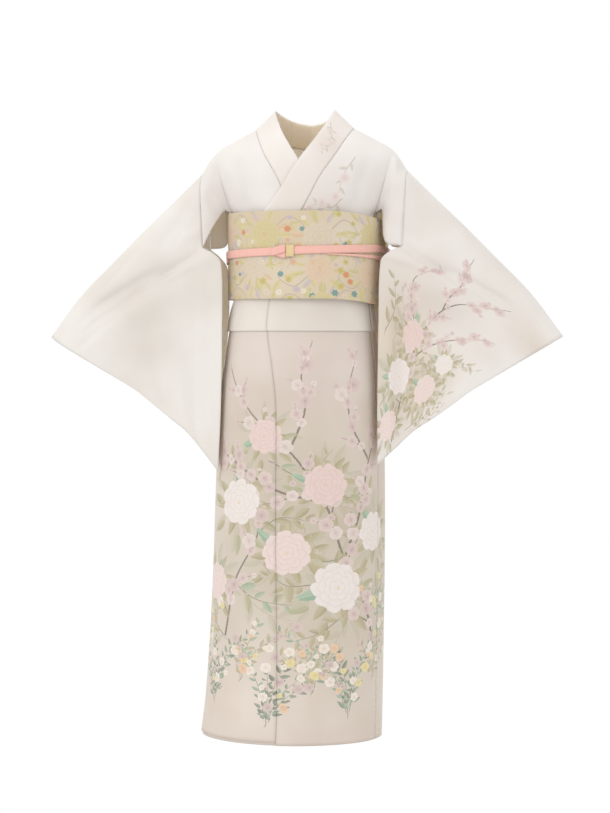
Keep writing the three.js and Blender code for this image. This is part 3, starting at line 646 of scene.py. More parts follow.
def bloom_group(name, rings, heart, petals, rims, hearts, ruffle=0.3, drawn=0.55, strength=1.0):
    """A bloom of petal rings, each with a count, a size, a turn and a depth, round a heart."""
    tree, given, result = motif_group(name)
    _, _, tone, radius, angle = polar(tree, given.outputs[0])
    uneven = noise(tree, given.outputs[0], 3.2)
    swelling = calc(tree, "MULTIPLY_ADD", uneven, ruffle, 1 - ruffle / 2)
    radius = calc(tree, "MULTIPLY", radius, swelling)
    cover = line = None
    shade = radius
    for count, size, turn, depth in rings:
        ring_cover, ring_line = petal_ring(tree, radius, angle, count, size, turn, depth)
        if cover is None:
            cover, line = ring_cover, ring_line
            continue
        held = calc(tree, "SUBTRACT", 1.0, ring_cover)
        line = calc(tree, "ADD", calc(tree, "MULTIPLY", line, held), ring_line)
        step = calc(tree, "MULTIPLY", ring_cover, 0.22)
        shade = calc(tree, "ADD", shade, step)
    blush = calc(tree, "MULTIPLY_ADD", shade, -0.9, 1.0, clamp=True)
    petal = ramp(tree, tone, *petals, steps=True)
    rim = ramp(tree, tone, *rims, steps=True)
    colour = mixed(tree, calc(tree, "MULTIPLY", blush, 0.34), petal, rim)
    colour = mixed(tree, calc(tree, "MULTIPLY", line, drawn), colour, rim)
    dots = node(tree, "ShaderNodeTexVoronoi")
    feed(tree, dots.inputs["Vector"], given.outputs[0])
    dots.inputs["Scale"].default_value = 11
    speck = calc(tree, "MULTIPLY_ADD", dots.outputs["Distance"], -3.2, 1.5, clamp=True)
    core = calc(tree, "MULTIPLY_ADD", radius, -24, 24 * heart, clamp=True)
    centre = ramp(tree, tone, *hearts, steps=True)
    colour = mixed(tree, calc(tree, "MULTIPLY", core, speck), colour, centre)
    feed(tree, result.inputs[0], colour)
    feed(tree, result.inputs[1], calc(tree, "MULTIPLY", cover, strength))
    return tree


large_bloom = bloom_group(
    "large bloom",
    [(9, 1.0, 0.0, 0.14), (8, 0.76, 0.8, 0.18), (7, 0.54, 0.3, 0.22), (5, 0.32, 0.9, 0.28)], 0.12,
    [(0.0, (229, 221, 216)), (0.3, (226, 209, 203)), (0.5, (222, 201, 194))],
    [(0.0, (184, 158, 148)), (0.3, (184, 146, 138)), (0.5, (180, 142, 136))],
    [(0.0, (220, 190, 126)), (0.5, (208, 172, 110))], strength=0.92)
small_bloom = bloom_group(
    "small bloom", [(5, 1.0, 0.0, 0.16)], 0.3,
    [(0.0, (216, 198, 192)), (0.15, (222, 208, 202)), (0.3, (219, 202, 195)), (0.5, (211, 191, 186)),
     (0.6, (232, 224, 214)), (0.75, (226, 196, 168)), (0.85, (226, 212, 158))],
    [(0.0, (166, 138, 134)), (0.15, (180, 156, 150)), (0.3, (172, 146, 140)), (0.5, (160, 132, 128)),
     (0.6, (196, 168, 136)), (0.75, (196, 150, 112)), (0.85, (196, 170, 106))],
    [(0.0, (150, 112, 104)), (0.15, (186, 156, 140)), (0.3, (160, 124, 110)), (0.6, (214, 156, 92)),
     (0.85, (186, 140, 80))], drawn=0.5, strength=0.86)


def leaf_group(name, colours, edge_colours, strength):
    """A pointed leaf with a rib, veins and a light half."""
    tree, given, result = motif_group(name)
    x, y, tone, _, _ = polar(tree, given.outputs[0])
    square = calc(tree, "MULTIPLY", x, x)
    belly = calc(tree, "MAXIMUM", calc(tree, "SUBTRACT", 1.0, square), 0.0)
    lean = calc(tree, "MULTIPLY_ADD", x, -0.12, 0.38)
    half = calc(tree, "MULTIPLY", calc(tree, "POWER", belly, 0.8), lean)
    aside = calc(tree, "ABSOLUTE", y)
    inside = calc(tree, "SUBTRACT", half, aside)
    cover = calc(tree, "MULTIPLY", inside, 22, clamp=True)
    rib = calc(tree, "MULTIPLY_ADD", aside, -34, 1.2, clamp=True)
    run = calc(tree, "MULTIPLY", calc(tree, "MULTIPLY_ADD", aside, -1.1, x), 4.6)
    wave = calc(tree, "ABSOLUTE", calc(tree, "SUBTRACT", calc(tree, "FRACT", run), 0.5))
    vein = calc(tree, "MULTIPLY", calc(tree, "MULTIPLY_ADD", wave, 12, -5.2, clamp=True), 0.55)
    rim = calc(tree, "MULTIPLY", calc(tree, "MULTIPLY_ADD", inside, -22, 1.3, clamp=True), 0.6)
    drawn = calc(tree, "MAXIMUM", calc(tree, "MAXIMUM", rib, vein), rim)
    body = ramp(tree, tone, *colours)
    edge = ramp(tree, tone, *edge_colours)
    shadow = calc(tree, "MULTIPLY_ADD", y, 1.6, 0.42, clamp=True)
    pale = mixed(tree, 0.45, body, paint((236, 230, 214)))
    colour = mixed(tree, calc(tree, "MULTIPLY", shadow, 0.6), body, pale)
    colour = mixed(tree, calc(tree, "MULTIPLY", drawn, 0.7), colour, edge)
    feed(tree, result.inputs[0], colour)
    feed(tree, result.inputs[1], calc(tree, "MULTIPLY", cover, strength))
    return tree


front_leaf = leaf_group(
    "leaf",
    [(0.05, (160, 150, 118)), (0.3, (178, 166, 132)), (0.5, (136, 166, 142)), (0.75, (122, 134, 116)),
     (0.95, (98, 110, 96))],
    [(0.05, (198, 188, 154)), (0.3, (146, 134, 102)), (0.5, (196, 206, 184)), (0.75, (84, 98, 84)),
     (0.95, (70, 80, 70))], 0.85)
back_leaf = leaf_group(
    "pale leaf",
    [(0.05, (182, 173, 150)), (0.5, (186, 179, 164)), (0.9, (178, 170, 152))],
    [(0.05, (170, 160, 136)), (0.9, (166, 156, 138))], 0.6)

stem_tree, stem_given, stem_result = motif_group("stem")
stem_parts = node(stem_tree, "ShaderNodeSeparateXYZ")
feed(stem_tree, stem_parts.inputs[0], stem_given.outputs[0])
stem_wobble = node(stem_tree, "ShaderNodeTexNoise", noise_dimensions="1D")
feed(stem_tree, stem_wobble.inputs["W"], calc(stem_tree, "MULTIPLY", stem_parts.outputs[1], 40))
stem_shift = calc(stem_tree, "MULTIPLY_ADD", stem_wobble.outputs[0], 1.4, -0.7)
stem_off = calc(stem_tree, "ABSOLUTE", calc(stem_tree, "ADD", stem_parts.outputs[0], stem_shift))
stem_cover = calc(stem_tree, "MULTIPLY_ADD", stem_off, -3, 2.6, clamp=True)
stem_colour = ramp(stem_tree, stem_parts.outputs[2],
                   (0.05, (88, 76, 74)), (0.4, (126, 120, 98)), (0.6, (110, 116, 98)), (0.9, (182, 172, 160)))
stem_light = mixed(stem_tree, calc(stem_tree, "MULTIPLY", stem_wobble.outputs[0], 0.5),
                   stem_colour, paint((176, 162, 152)))
feed(stem_tree, stem_result.inputs[0], stem_light)
feed(stem_tree, stem_result.inputs[1], calc(stem_tree, "MULTIPLY", stem_cover, 0.86))

# The crepe grain: short crossed ripples of about a millimetre
crepe_tree, _, crepe_result = group_of("crepe grain", [], [("Height", "NodeSocketFloat")])
crepe_place = node(crepe_tree, "ShaderNodeTexCoord").outputs["Object"]
crepe_fine = noise(crepe_tree, crepe_place, 950, 1.0)
crepe_wide = noise(crepe_tree, crepe_place, 60)
feed(crepe_tree, crepe_result.inputs[0], calc(crepe_tree, "MULTIPLY_ADD", crepe_wide, 0.5, crepe_fine))


def use(tree, group, **values):
    made = node(tree, "ShaderNodeGroup", node_tree=group)
    for label, value in values.items():
        feed(tree, made.inputs[label], value)
    return made


def attribute(tree, name):
    return node(tree, "ShaderNodeAttribute", attribute_name=name)


def drawn_over(tree, colour, layers):
    """A colour with the motifs of each layer drawn over it in turn."""
    for layer, group in layers:
        made = use(tree, group, Place=attribute(tree, layer).outputs["Vector"])
        colour = mixed(tree, made.outputs["Cover"], colour, made.outputs["Colour"])
    return colour


def new_material(name):
    material = bpy.data.materials.new(name)
    material.use_nodes = True
    return material, material.node_tree, material.node_tree.nodes["Principled BSDF"]


def raise_threads(tree, shader, height, strength, distance):
    """Lets a height tilt the surface's normals, by a strength and a depth in metres."""
    bump = node(tree, "ShaderNodeBump")
    bump.inputs["Strength"].default_value = strength
    bump.inputs["Distance"].default_value = distance
    feed(tree, bump.inputs["Height"], height)
    feed(tree, shader.inputs["Normal"], bump.outputs[0])


def silk(name, tints=None):
    """Crepe silk, dyed and painted from its own attributes, with painted shade in the collar's ground colour,
    or plain in two tints.
    """
    material, tree, shader = new_material(name)
    mottle = noise(tree, node(tree, "ShaderNodeTexCoord").outputs["Object"], 7)
    if tints:
        colour = ramp(tree, mottle, (0.3, tints[0]), (0.7, tints[1]))
        shader.inputs["Subsurface Weight"].default_value = 0.6
        shader.inputs["Subsurface Radius"].default_value = (0.006, 0.005, 0.004)
        shader.inputs["Subsurface Scale"].default_value = 1.0
    else:
        shade = ramp(tree, mottle, (0.35, (238, 234, 229)), (0.65, (255, 255, 255)))
        # The ground colour holds the dyed washes and, on the collar, a painted shade
        dyed = node(tree, "ShaderNodeMix", data_type="RGBA", blend_type="MULTIPLY")
        dyed.inputs[0].default_value = 0.6
        feed(tree, dyed.inputs[6], attribute(tree, "ground").outputs["Color"])
        feed(tree, dyed.inputs[7], shade)
        colour = drawn_over(tree, dyed.outputs[2], (
            ("back_leaf", back_leaf), ("stem", stem_tree), ("leaf", front_leaf),
            ("small_bloom", small_bloom), ("large_bloom", large_bloom)))
    feed(tree, shader.inputs["Base Color"], colour)
    grain = use(tree, crepe_tree).outputs[0]
    feed(tree, shader.inputs["Roughness"], calc(tree, "MULTIPLY_ADD", grain, 0.1, 0.52))
    raise_threads(tree, shader, grain, 0.22, 0.0005)
    shader.inputs["Specular IOR Level"].default_value = 0.3
    shader.inputs["Sheen Weight"].default_value = 0.12
    shader.inputs["Sheen Roughness"].default_value = 0.4
    return material


painted_silk = silk("painted_crepe_silk")
lining_silk = silk("lining_silk", ((243, 226, 208), (247, 233, 218)))


def cloth(name, grid, flat, thickness, skins, keep=None, closed=False, creases=None, ground=None,
          flowers=None):
    """A thin cloth shell over a grid of points, with its flat places kept on it."""
    rows = len(grid)
    columns = len(grid[0])
    cell_columns = columns if closed else columns - 1
    cells = []
    corners = []
    for i in range(rows - 1):
        for j in range(cell_columns):
            if keep and not keep(i, j):
                continue
            k = (j + 1) % columns
            cells.append((i * columns + j, (i + 1) * columns + j, (i + 1) * columns + k, i * columns + k))
            corners.append((flat[i][j], flat[i + 1][j], flat[i + 1][j + 1], flat[i][j + 1]))
    points = [p for row in grid for p in row]
    if creases:
        normals = [Vector() for _ in points]
        for a, b, c, d in cells:
            normal = (points[c] - points[a]).cross(points[d] - points[b]).normalized()
            for k in (a, b, c, d):
                normals[k] += normal
        for i in range(rows):
            for j in range(columns):
                k = i * columns + j
                lift = creases(*flat[i][j])
                if lift and normals[k].length:
                    points[k] = points[k] + normals[k].normalized() * lift
    used = sorted({k for cell in cells for k in cell})
    order = {k: n for n, k in enumerate(used)}
    mesh = bpy.data.meshes.new(name)
    mesh.from_pydata([points[k] / 1000 for k in used], [], [[order[k] for k in cell] for cell in cells])
    mesh.polygons.foreach_set("use_smooth", [True] * len(cells))
    flat_values = [x for face in corners for u, v in face for x in (u, v, 0.0)]
    mesh.attributes.new("flat", "FLOAT_VECTOR", "CORNER").data.foreach_set("vector", flat_values)
    if ground:
        tints = [x for face in corners for u, v in face for x in ground(u, v)]
        mesh.attributes.new("ground", "FLOAT_COLOR", "CORNER").data.foreach_set("color", tints)
        for layer in LAYERS:
            found = flowers.places(layer, corners) if flowers else [FAR] * (4 * len(corners))
            made = mesh.attributes.new(layer, "FLOAT_VECTOR", "CORNER")
            made.data.foreach_set("vector", [x for place in found for x in place])
    for skin in skins:
        mesh.materials.append(skin)
    made = bpy.data.objects.new(name, mesh)
    bpy.context.scene.collection.objects.link(made)
    shell = made.modifiers.new("cloth wall", "SOLIDIFY")
    shell.thickness = thickness / 1000
    shell.offset = 0
    shell.material_offset = len(skins) - 1
    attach(made, "root")
    return made


TORSO_COLUMNS = 38
WEB_COLUMNS = 12
TORSO_SHARE = 0.72
BODICE_ROWS = 30


def armhole(along, face):
    point = read_point(ARMHOLE, "along", along)
    point.y *= face
    return point


def side_edge(face, down):
    opened = smooth((SLIT_END - down) / (SLIT_END - OBI_TOP)) * 0.06
    if face > 0:
        return SIDE_SEAM + opened - SEAM_GAP
    return SIDE_SEAM + 0.02 * smooth((SLIT_END - down) / 60) + opened + SEAM_GAP + opened / 2


def neck_edge(half, t):
    point = read_point(COLLAR, "along", t)
    around = read(OVERLAP_SEAM, "down", OBI_TOP, "around")
    lap = lap_out(half, half * around, OBI_TOP)
    point.y -= smooth(t / 0.4) * lap
    foot = on_body(around, OBI_TOP, TUCK_OUTER_OUT + lap)
    return point.lerp(foot, smooth((t - 0.68) / 0.32))


def bodice_point(half, face, column, w):
    if column <= TORSO_COLUMNS:
        share = TORSO_SHARE * column / TORSO_COLUMNS
    else:
        share = TORSO_SHARE + (1 - TORSO_SHARE) * (column - TORSO_COLUMNS) / WEB_COLUMNS
    inner = read(OVERLAP_SEAM, "down", OBI_TOP, "around") if face > 0 else 1 - SEAM_GAP

    def torso(part):
        around = lerp(inner, side_edge(face, OBI_TOP), part)
        lap = lap_out(half, half * around, OBI_TOP) if face > 0 else 0
        return on_body(around, OBI_TOP, TUCK_OUTER_OUT + lap)

    def lower(u):
        if u <= TORSO_SHARE:
            return torso(u / TORSO_SHARE)
        out = (u - TORSO_SHARE) / (1 - TORSO_SHARE)
        slack = SLACK_PULLED if face > 0 and half < 0 else SLACK_LOW
        point = read_point(slack, "along", out)
        point.y *= face
        return torso(1).lerp(point, min(1, out / slack[0]["along"]))

    def neck(t):
        if face > 0:
            return neck_edge(half, t)
        turn = 0.4
        if t < turn:
            point = read_point(COLLAR, "along", -0.5 * t / turn)
            point.x = max(point.x, 0.25)
            return point
        start = read_point(COLLAR, "along", -0.5)
        start.x = 0.25
        return start.lerp(torso(0), (t - turn) / (1 - turn))

    def shoulder(u):
        return read_point(SHOULDER, "across", u)

    return patch(shoulder, lower, neck, lambda t: armhole(t, face), share, w)


def mirror_body(point):
    return Vector((2 * section(-point.z)[2] - point.x, point.y, point.z))


def body_creases(u, v):
    if v < OBI_TOP or v > FRONT_FLAT_END:
        return crease(BODICE_CREASES, u, v)
    return crease(BODY_CREASES, u, v)


def body_ground(u, v):
    if OBI_BOTTOM < v < TUCK_FOLD + 8:
        return wash(u, v, TUCK_IVORY, ())
    if TUCK_FOLD < v < FRONT_FLAT_END:
        return wash(u, v, SKIRT_IVORY)
    return wash(u, v)


def flat_place(half, around, down, out):
    hidden = out == TUCK_MIDDLE_OUT
    return (half * around * HALF_GIRTH, down + (HIDDEN_FLAT if hidden else 0))


def body_half(name, half):
    columns = TORSO_COLUMNS + WEB_COLUMNS

    def side(face):
        rows = []
        for down, out in tuck_path(OBI_TOP, HEM)[1:]:
            inner = read(OVERLAP_SEAM, "down", down, "around") if face > 0 else 1
            row, places = [], []
            for j in range(columns + 1):
                part = min(1, j / TORSO_COLUMNS)
                around = lerp(inner + face * SEAM_GAP, side_edge(face, down), part)
                lap = lap_out(half, half * around, down) if face > 0 else 0
                row.append(on_body(around, down, out + lap))
                places.append(flat_place(half, around, down, out))
            rows.append((row, places))
        return rows

    def bodice_row(face, share, shift):
        row = [bodice_point(half, face, j, share) for j in range(columns + 1)]
        return (row, [(half * p.x * BODICE_SPREAD, -p.z + shift) for p in row])

    shares = [i / BODICE_ROWS for i in range(1, BODICE_ROWS + 1)]
    back_side = side(-1)[::-1]
    rows = back_side + [bodice_row(-1, share, BACK_FLAT) for share in reversed(shares)]
    rows += [bodice_row(1, share, 0) for share in [0] + shares] + side(1)
    first_web = len(back_side)
    last_web = len(back_side) + 2 * BODICE_ROWS
    grid = [row for row, _ in rows]
    flat = [places for _, places in rows]

    def keep(i, j):
        return j < TORSO_COLUMNS or first_web <= i < last_web

    return finish_half(name, half, grid, flat, keep)


def finish_half(name, half, grid, flat, keep):
    """Cloth of one half of the kimono: as given on the left, mirrored on the right."""
    last = len(grid[0]) - 1
    if half < 0:
        grid = [[mirror_body(p) for p in reversed(row)] for row in grid]
        flat = [list(reversed(row)) for row in flat]
    return cloth(
        name, grid, flat, SILK_WALL, [painted_silk, lining_silk],
        keep=keep if half > 0 else (lambda i, j: keep(i, last - 1 - j)),
        creases=body_creases, ground=body_ground, flowers=flora)


body_left = body_half("kimono_body_left", 1)
body_right = body_half("kimono_body_right", -1)
for made, solid in ((body_left, "body_left"), (body_right, "body_right")):
    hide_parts(solid)


# Overlap panels
# The narrow panel of the same silk sewn to each front, which carries it round past
# the other front. The wearer's left one lies on top
OVERLAP_TOP = 222
OVERLAP_COLUMNS = 30


def overlap_panel(name, half):
    grid, flat = [], []
    for down, out in tuck_path(OVERLAP_TOP, OVERLAP_HEM):
        inner = read(OVERLAP_SEAM, "down", down, "around") - SEAM_GAP
        outer = read(OVERLAP_EDGE, "down", down, "around")
        arounds = [lerp(outer, inner, j / OVERLAP_COLUMNS) for j in range(OVERLAP_COLUMNS + 1)]
        grid.append([on_body(a, down, out + lap_out(half, half * a, down)) for a in arounds])
        flat.append([flat_place(half, a, down, out) for a in arounds])
    return finish_half(name, half, grid, flat, lambda i, j: True)


for name, solid, half in (
        ("overlap_panel_left", "overlap_left", 1), ("overlap_panel_right", "overlap_right", -1)):
    made = overlap_panel(name, half)
    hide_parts(solid)


# Collar
# One long band of folded silk, sewn to the neck and down both fronts, its free edge
# folded over
COLLAR_WALL = 2.2
COLLAR_CLEAR = 0.3
COLLAR_CROWN = {1: 1.5, -1: 0.5}
COLLAR_COLUMNS = 14
COLLAR_FLAT_WIDE = 60.0
COLLAR_FLAT_ROW = 8.0
COLLAR_END = 286
CHEST_WIDTH = 144
COLLAR_UNDER_OBI = table(
    "down x topX topDown",
    (174, 7.8, -36, 130), (205, -22, -66, 170), (250, -58, -102, 218), (286, -84, -126, 256))


def chest(half, x, down):
    centre = read(BODY_SECTIONS, "down", down, "centre")
    width = read(BODY_SECTIONS, "down", down, "width") + TUCK_OUTER_OUT
    guess = half * math.asin((x - centre) / (width + 4)) / math.pi
    lap = lap_out(half, guess, down)
    around = math.asin((x - centre) / (width + lap)) / math.pi
    return Vector((x, on_body(around, down, TUCK_OUTER_OUT + lap).y, -down))


def band_row(sewn, folded, crown):
    """Across the band, from its seam to its folded edge, which rounds back."""
    clear = COLLAR_CLEAR / (folded - sewn).length
    row = []
    for j in range(COLLAR_COLUMNS + 1):
        part = lerp(clear, 1, j / COLLAR_COLUMNS)
        point = sewn.lerp(folded, part)
        point.y -= 4 * crown * part * (1 - part) - 0.8 * math.exp(-((1 - part) / 0.04) ** 2)
        row.append(point)
    return row


def collar_band(half):
    rows = []
    crown = COLLAR_CROWN[half]
    stops = steps(-0.5, 0, 0.02)[:-1] + steps(0, 0.98, 0.02)
    for t in stops:
        folded = Vector([read(COLLAR, "along", t, c) for c in ("topX", "topY", "topZ")])
        lap_around = half * math.asin(folded.x / CHEST_WIDTH) / math.pi
        folded.y -= smooth(t / 0.4) * lap_out(half, lap_around, OBI_TOP)
        rows.append(band_row(neck_edge(half, t), folded, crown * smooth(t / 0.3)))
    for down in steps(OBI_TOP + 1, COLLAR_END, 6):
        x = read(COLLAR_UNDER_OBI, "down", down, "x")
        top_x = read(COLLAR_UNDER_OBI, "down", down, "topX")
        top_down = read(COLLAR_UNDER_OBI, "down", down, "topDown")
        rows.append(band_row(chest(half, x, down), chest(half, top_x, top_down), crown))
    return rows


left_band = collar_band(1)
right_band = [[mirror_body(p) for p in row] for row in collar_band(-1)]
collar_grid = right_band[::-1] + left_band[1:]
collar_flat = [
    [(COLLAR_FLAT_WIDE * j / COLLAR_COLUMNS, COLLAR_FLAT_ROW * (i - len(right_band)))
     for j in range(COLLAR_COLUMNS + 1)]
    for i in range(len(collar_grid))]
# Painted shade: a darker patch on the wearer's left front of the collar, where its fold shades it
COLLAR_PAINTED_SHADE = table("u v across tall colour strength", (30, 330, 60, 70, (216, 205, 198), 0.7))


# The collar's ground colour, with that painted shade laid into it
def collar_ground_and_shade(u, v):
    return wash(u, v, (227, 221, 215), COLLAR_PAINTED_SHADE)


collar_flora = Flora(5)
collar_flora.leafy(((52, 250), (34, 290), (22, 340), (30, 380)), 1.3, 0.9, 9, 0.2, 14, "back_leaf")
for u, v, size in ((40, 286, 9), (20, 322, 10), (38, 356, 8)):
    collar_flora.spot("small_bloom", u, v, size, v, 0.2)
collar_grid.reverse()
collar_flat.reverse()
collar = cloth("collar_band", collar_grid, collar_flat, COLLAR_WALL, [painted_silk, lining_silk],
               ground=collar_ground_and_shade, flowers=collar_flora)
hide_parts("collar")


# Sleeves
# Each is one length of silk folded over the arm, sewn at its outer end below the
# wrist opening and along its foot, and open along its inner edge
SLEEVE_GAP = 0.15
SLEEVE_RINGS = 60
SLEEVE_ROWS = 84
SLEEVE_SEAM_ROWS = 24
SLEEVE_SEAM_SHARE = 0.25
SLEEVE_TOP = table(
    "along x y z",
    (0, 205, 0, -90), (0.2, 266, -6, -150), (0.4, 326, -12, -208), (0.6, 388, -18, -271),
    (0.8, 449, -24, -334), (1, 512, -30, -418))
SLEEVE_BOTTOM = table(
    "along x y z",
    (0, 158, -66, -676), (0.2, 190, -62, -641), (0.4, 226, -58, -604), (0.6, 262, -55, -578),
    (0.8, 299, -52, -550), (1, 334, -50, -523))
SLEEVE_INNER_FRONT = table(
    "along x y z",
    (0.25, 199, -42, -240), (0.31, 173, -55, -253), (0.36, 158, -59, -272),
    (0.55, 155, -61, -400), (0.8, 155, -64, -560), (1, 158, -66, -676))
SLEEVE_INNER_BACK = table(
    "along x y z",
    (0.25, 199, 42, -240), (0.31, 179, 45, -256), (0.37, 163, 46, -282), (0.55, 160, 38, -400),
    (0.8, 174, 4, -560), (0.93, 174, -38, -640), (1, 158, -66, -676))
WRIST_BULGE = table(
    "along out", (0, 0), (0.07, 19), (0.2, 28), (0.45, 23), (0.75, 11), (1, 1.7))
TROUGH_DEPTH = 13
TROUGH_AT_BODY = 0.35
TROUGH_AT_WRIST = 0.17
TROUGH_WIDTH = 0.07
LOWER_CORNER = {"left": (-5, 8), "right": (6, -8)}
SLEEVE_LONG = 430
SLEEVE_DEEP = 590


def sleeve_point(side, face, r, w):
    def top(t):
        point = read_point(SLEEVE_TOP, "along", t)
        point.x += SLEEVE_GAP * (1 - t)
        return point

    def bottom(t):
        point = read_point(SLEEVE_BOTTOM, "along", t)
        point.y += face * -1.7
        return point

    def inside(t):
        if t < SLEEVE_SEAM_SHARE:
            point = armhole(t / SLEEVE_SEAM_SHARE, face)
            point.x += SLEEVE_GAP * (1 + smooth(t / SLEEVE_SEAM_SHARE))
            return point
        point = read_point(SLEEVE_INNER_FRONT if face > 0 else SLEEVE_INNER_BACK, "along", t)
        point.x += SLEEVE_GAP * 2 * (1 - t)
        point.y += face * -1.7 * smooth((t - SLEEVE_SEAM_SHARE) / (1 - SLEEVE_SEAM_SHARE))
        return point

    def wrist(t):
        point = top(1).lerp(read_point(SLEEVE_BOTTOM, "along", 1), t)
        point.y -= face * read(WRIST_BULGE, "along", t, "out")
        return point

    point = patch(inside, wrist, top, bottom, w, r)
    trough = lerp(TROUGH_AT_BODY, TROUGH_AT_WRIST, r)
    sink = math.exp(-(((w - trough) / TROUGH_WIDTH) ** 2)) * smooth(r / 0.25)
    point.y += face * TROUGH_DEPTH * sink * smooth((1 - r) / 0.4)
    move_x, move_z = LOWER_CORNER[side]
    near = (1 - r) ** 2 * w * w
    return point + Vector((move_x * near, 0, move_z * near))


def sleeve_row(j):
    if j <= SLEEVE_SEAM_ROWS:
        return SLEEVE_SEAM_SHARE * j / SLEEVE_SEAM_ROWS
    below = (j - SLEEVE_SEAM_ROWS) / (SLEEVE_ROWS - SLEEVE_SEAM_ROWS)
    return lerp(SLEEVE_SEAM_SHARE, 1, below ** 1.1)


def sleeve(name, side, creases, ground, flowers):
    grid, flat = [], []
    for i in range(SLEEVE_RINGS + 1):
        r = i / SLEEVE_RINGS
        front = [sleeve_point(side, 1, r, sleeve_row(j)) for j in range(SLEEVE_ROWS + 1)]
        back = [sleeve_point(side, -1, r, sleeve_row(j)) for j in range(SLEEVE_ROWS + 1)]
        for j in range(2, SLEEVE_ROWS):
            w = sleeve_row(j)
            middle = (front[j] + back[j]) / 2
            arc = math.sin(math.pi * min(1, r * 1.2 + 0.02))
            close = 1 - 0.62 * arc * smooth((w - 0.2) / 0.3)
            front[j] = middle.lerp(front[j], close)
            back[j] = middle.lerp(back[j], close)
        ring = front + list(reversed(back[1:]))
        downs = [sleeve_row(j) * SLEEVE_DEEP for j in range(SLEEVE_ROWS + 1)]
        places = [(r * SLEEVE_LONG, v) for v in downs]
        places += [(r * SLEEVE_LONG, -v) for v in reversed(downs[1:])] + [(r * SLEEVE_LONG, 0.0)]
        if side == "right":
            ring = [Vector((-p.x, p.y, p.z)) for p in reversed(ring)]
            places = places[-2::-1]
            places.append(places[0])
        grid.insert(0, ring)
        flat.insert(0, places)
    rows = creases + SLEEVE_BACK_CREASES
    return cloth(name, grid, flat, SILK_WALL, [painted_silk, lining_silk], closed=True,
                 creases=lambda u, v: crease(rows, u, v), ground=ground, flowers=flowers)


# Creases of a sleeve in flat millimetres: along the arm, and down from its top fold.
# Above zero is the front, below zero the back, which is alike on both
SLEEVE_BACK_CREASES = table(
    "u v to_u to_v wide high",
    (12, -150, 160, -150, 11, -4.0),
    (140, -140, 330, -100, 15, -3.6),
    (60, -180, 240, -176, 15, 3.2),
    (40, -250, 66, -560, 24, 3.0),
    (110, -250, 140, -570, 26, -3.0),
    (230, -240, 250, -540, 30, 2.2),
)
SLEEVE_RIGHT_CREASES = table(
    "u v to_u to_v wide high",
    (10, 152, 150, 150, 9, -4.5),
    (120, 142, 330, 96, 13, -4.0),
    (60, 172, 240, 168, 14, 3.6),
    (230, 150, 380, 118, 16, 3.0),
    (4, 120, 70, 104, 9, 2.8),
    (20, 60, 130, 84, 16, -2.2),
    (180, 48, 300, 62, 14, -2.0),
    (300, 186, 420, 178, 22, -3.0),
    (30, 236, 60, 560, 22, 3.2),
    (86, 250, 120, 570, 24, -3.4),
    (160, 260, 176, 560, 26, 2.4),
    (240, 240, 260, 540, 30, -2.4),
)
SLEEVE_LEFT_CREASES = table(
    "u v to_u to_v wide high",
    (6, 150, 150, 146, 8, -5.0),
    (130, 142, 320, 100, 12, -4.4),
    (30, 176, 220, 166, 13, 4.0),
    (190, 150, 350, 120, 15, 3.2),
    (2, 206, 60, 196, 7, -3.2),
    (4, 110, 60, 92, 9, 2.6),
    (30, 64, 120, 86, 15, -2.0),
    (110, 30, 220, 52, 14, 1.8),
    (280, 182, 410, 176, 22, -2.8),
    (24, 240, 50, 560, 20, 3.4),
    (78, 250, 104, 570, 22, -3.6),
    (150, 260, 168, 560, 26, 2.6),
    (230, 240, 260, 540, 30, -2.6),
)
SLEEVE_WASHES = table(
    "u v across tall colour strength",
    (60, 340, 110, 130, (206, 192, 172), 0.85),
    (170, 450, 110, 90, (204, 190, 170), 0.85),
    (120, 240, 120, 60, (212, 202, 194), 0.6),
    (300, 330, 90, 90, (214, 206, 198), 0.5),
    (420, 160, 80, 90, (206, 194, 182), 0.75),
    (90, -380, 120, 120, (206, 194, 178), 0.6),
)


def left_ground(u, v):
    return wash(u, v, (224, 219, 214), SLEEVE_WASHES)


def right_ground(u, v):
    return wash(u, v, (222, 217, 211), ())


sleeve_flora = Flora(23)
SLEEVE_BLOOMS = table(
    "u v size turn tone",
    (74, 420, 40, 0.4, 0.1), (176, 470, 42, 1.2, 0.35), (112, 330, 34, 2.2, 0.6),
    (230, 396, 32, 0.9, 0.1), (40, 520, 34, 1.8, 0.35), (96, -420, 40, 0.5, 0.1), (180, -360, 34, 1.5, 0.35))
SLEEVE_BRANCHES = (
    (((60, 560), (96, 440), (130, 340), (190, 250), (260, 180), (330, 120)), 4.0, 10, 54),
    (((130, 340), (100, 270), (96, 210), (120, 140)), 3.0, 6, 40),
    (((190, 250), (200, 190), (190, 130), (206, 70)), 2.8, 5, 38),
    (((120, 380), (190, 340), (270, 300), (350, 270)), 3.0, 6, 44),
    (((80, -560), (100, -430), (150, -330), (230, -220)), 3.4, 8, 50),
)
for points, wide, twigs, reach in SLEEVE_BRANCHES:
    sleeve_flora.branch(points, wide, twigs, reach)
for row in SLEEVE_BLOOMS:
    bloom_with_leaves(sleeve_flora, row)
for points, leaf, tone in (
        (((150, 500), (200, 510), (260, 480)), 17, 0.3), (((130, 400), (170, 400), (220, 440)), 16, 0.2),
        (((70, 470), (120, 500), (150, 540)), 17, 0.1), (((230, 396), (280, 380), (330, 400)), 15, 0.3),
        (((20, 330), (50, 280), (40, 220)), 15, 0.15), (((120, 560), (190, 560), (260, 540)), 15, 0.2),
        (((10, 470), (40, 440), (30, 380)), 15, 0.45)):
    sleeve_flora.leafy(points, 1.4, 0.5, leaf, tone, 17)
    sleeve_flora.leafy([(u + 26, v + 18) for u, v in points], 1.2, 0.9, leaf * 1.3, 0.2, 20, "back_leaf")

sleeve_left = sleeve("kimono_sleeve_left", "left", SLEEVE_LEFT_CREASES, left_ground, sleeve_flora)
sleeve_right = sleeve("kimono_sleeve_right", "right", SLEEVE_RIGHT_CREASES, right_ground, None)
for made, solid in ((sleeve_left, "sleeve_left"), (sleeve_right, "sleeve_right")):
    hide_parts(solid)


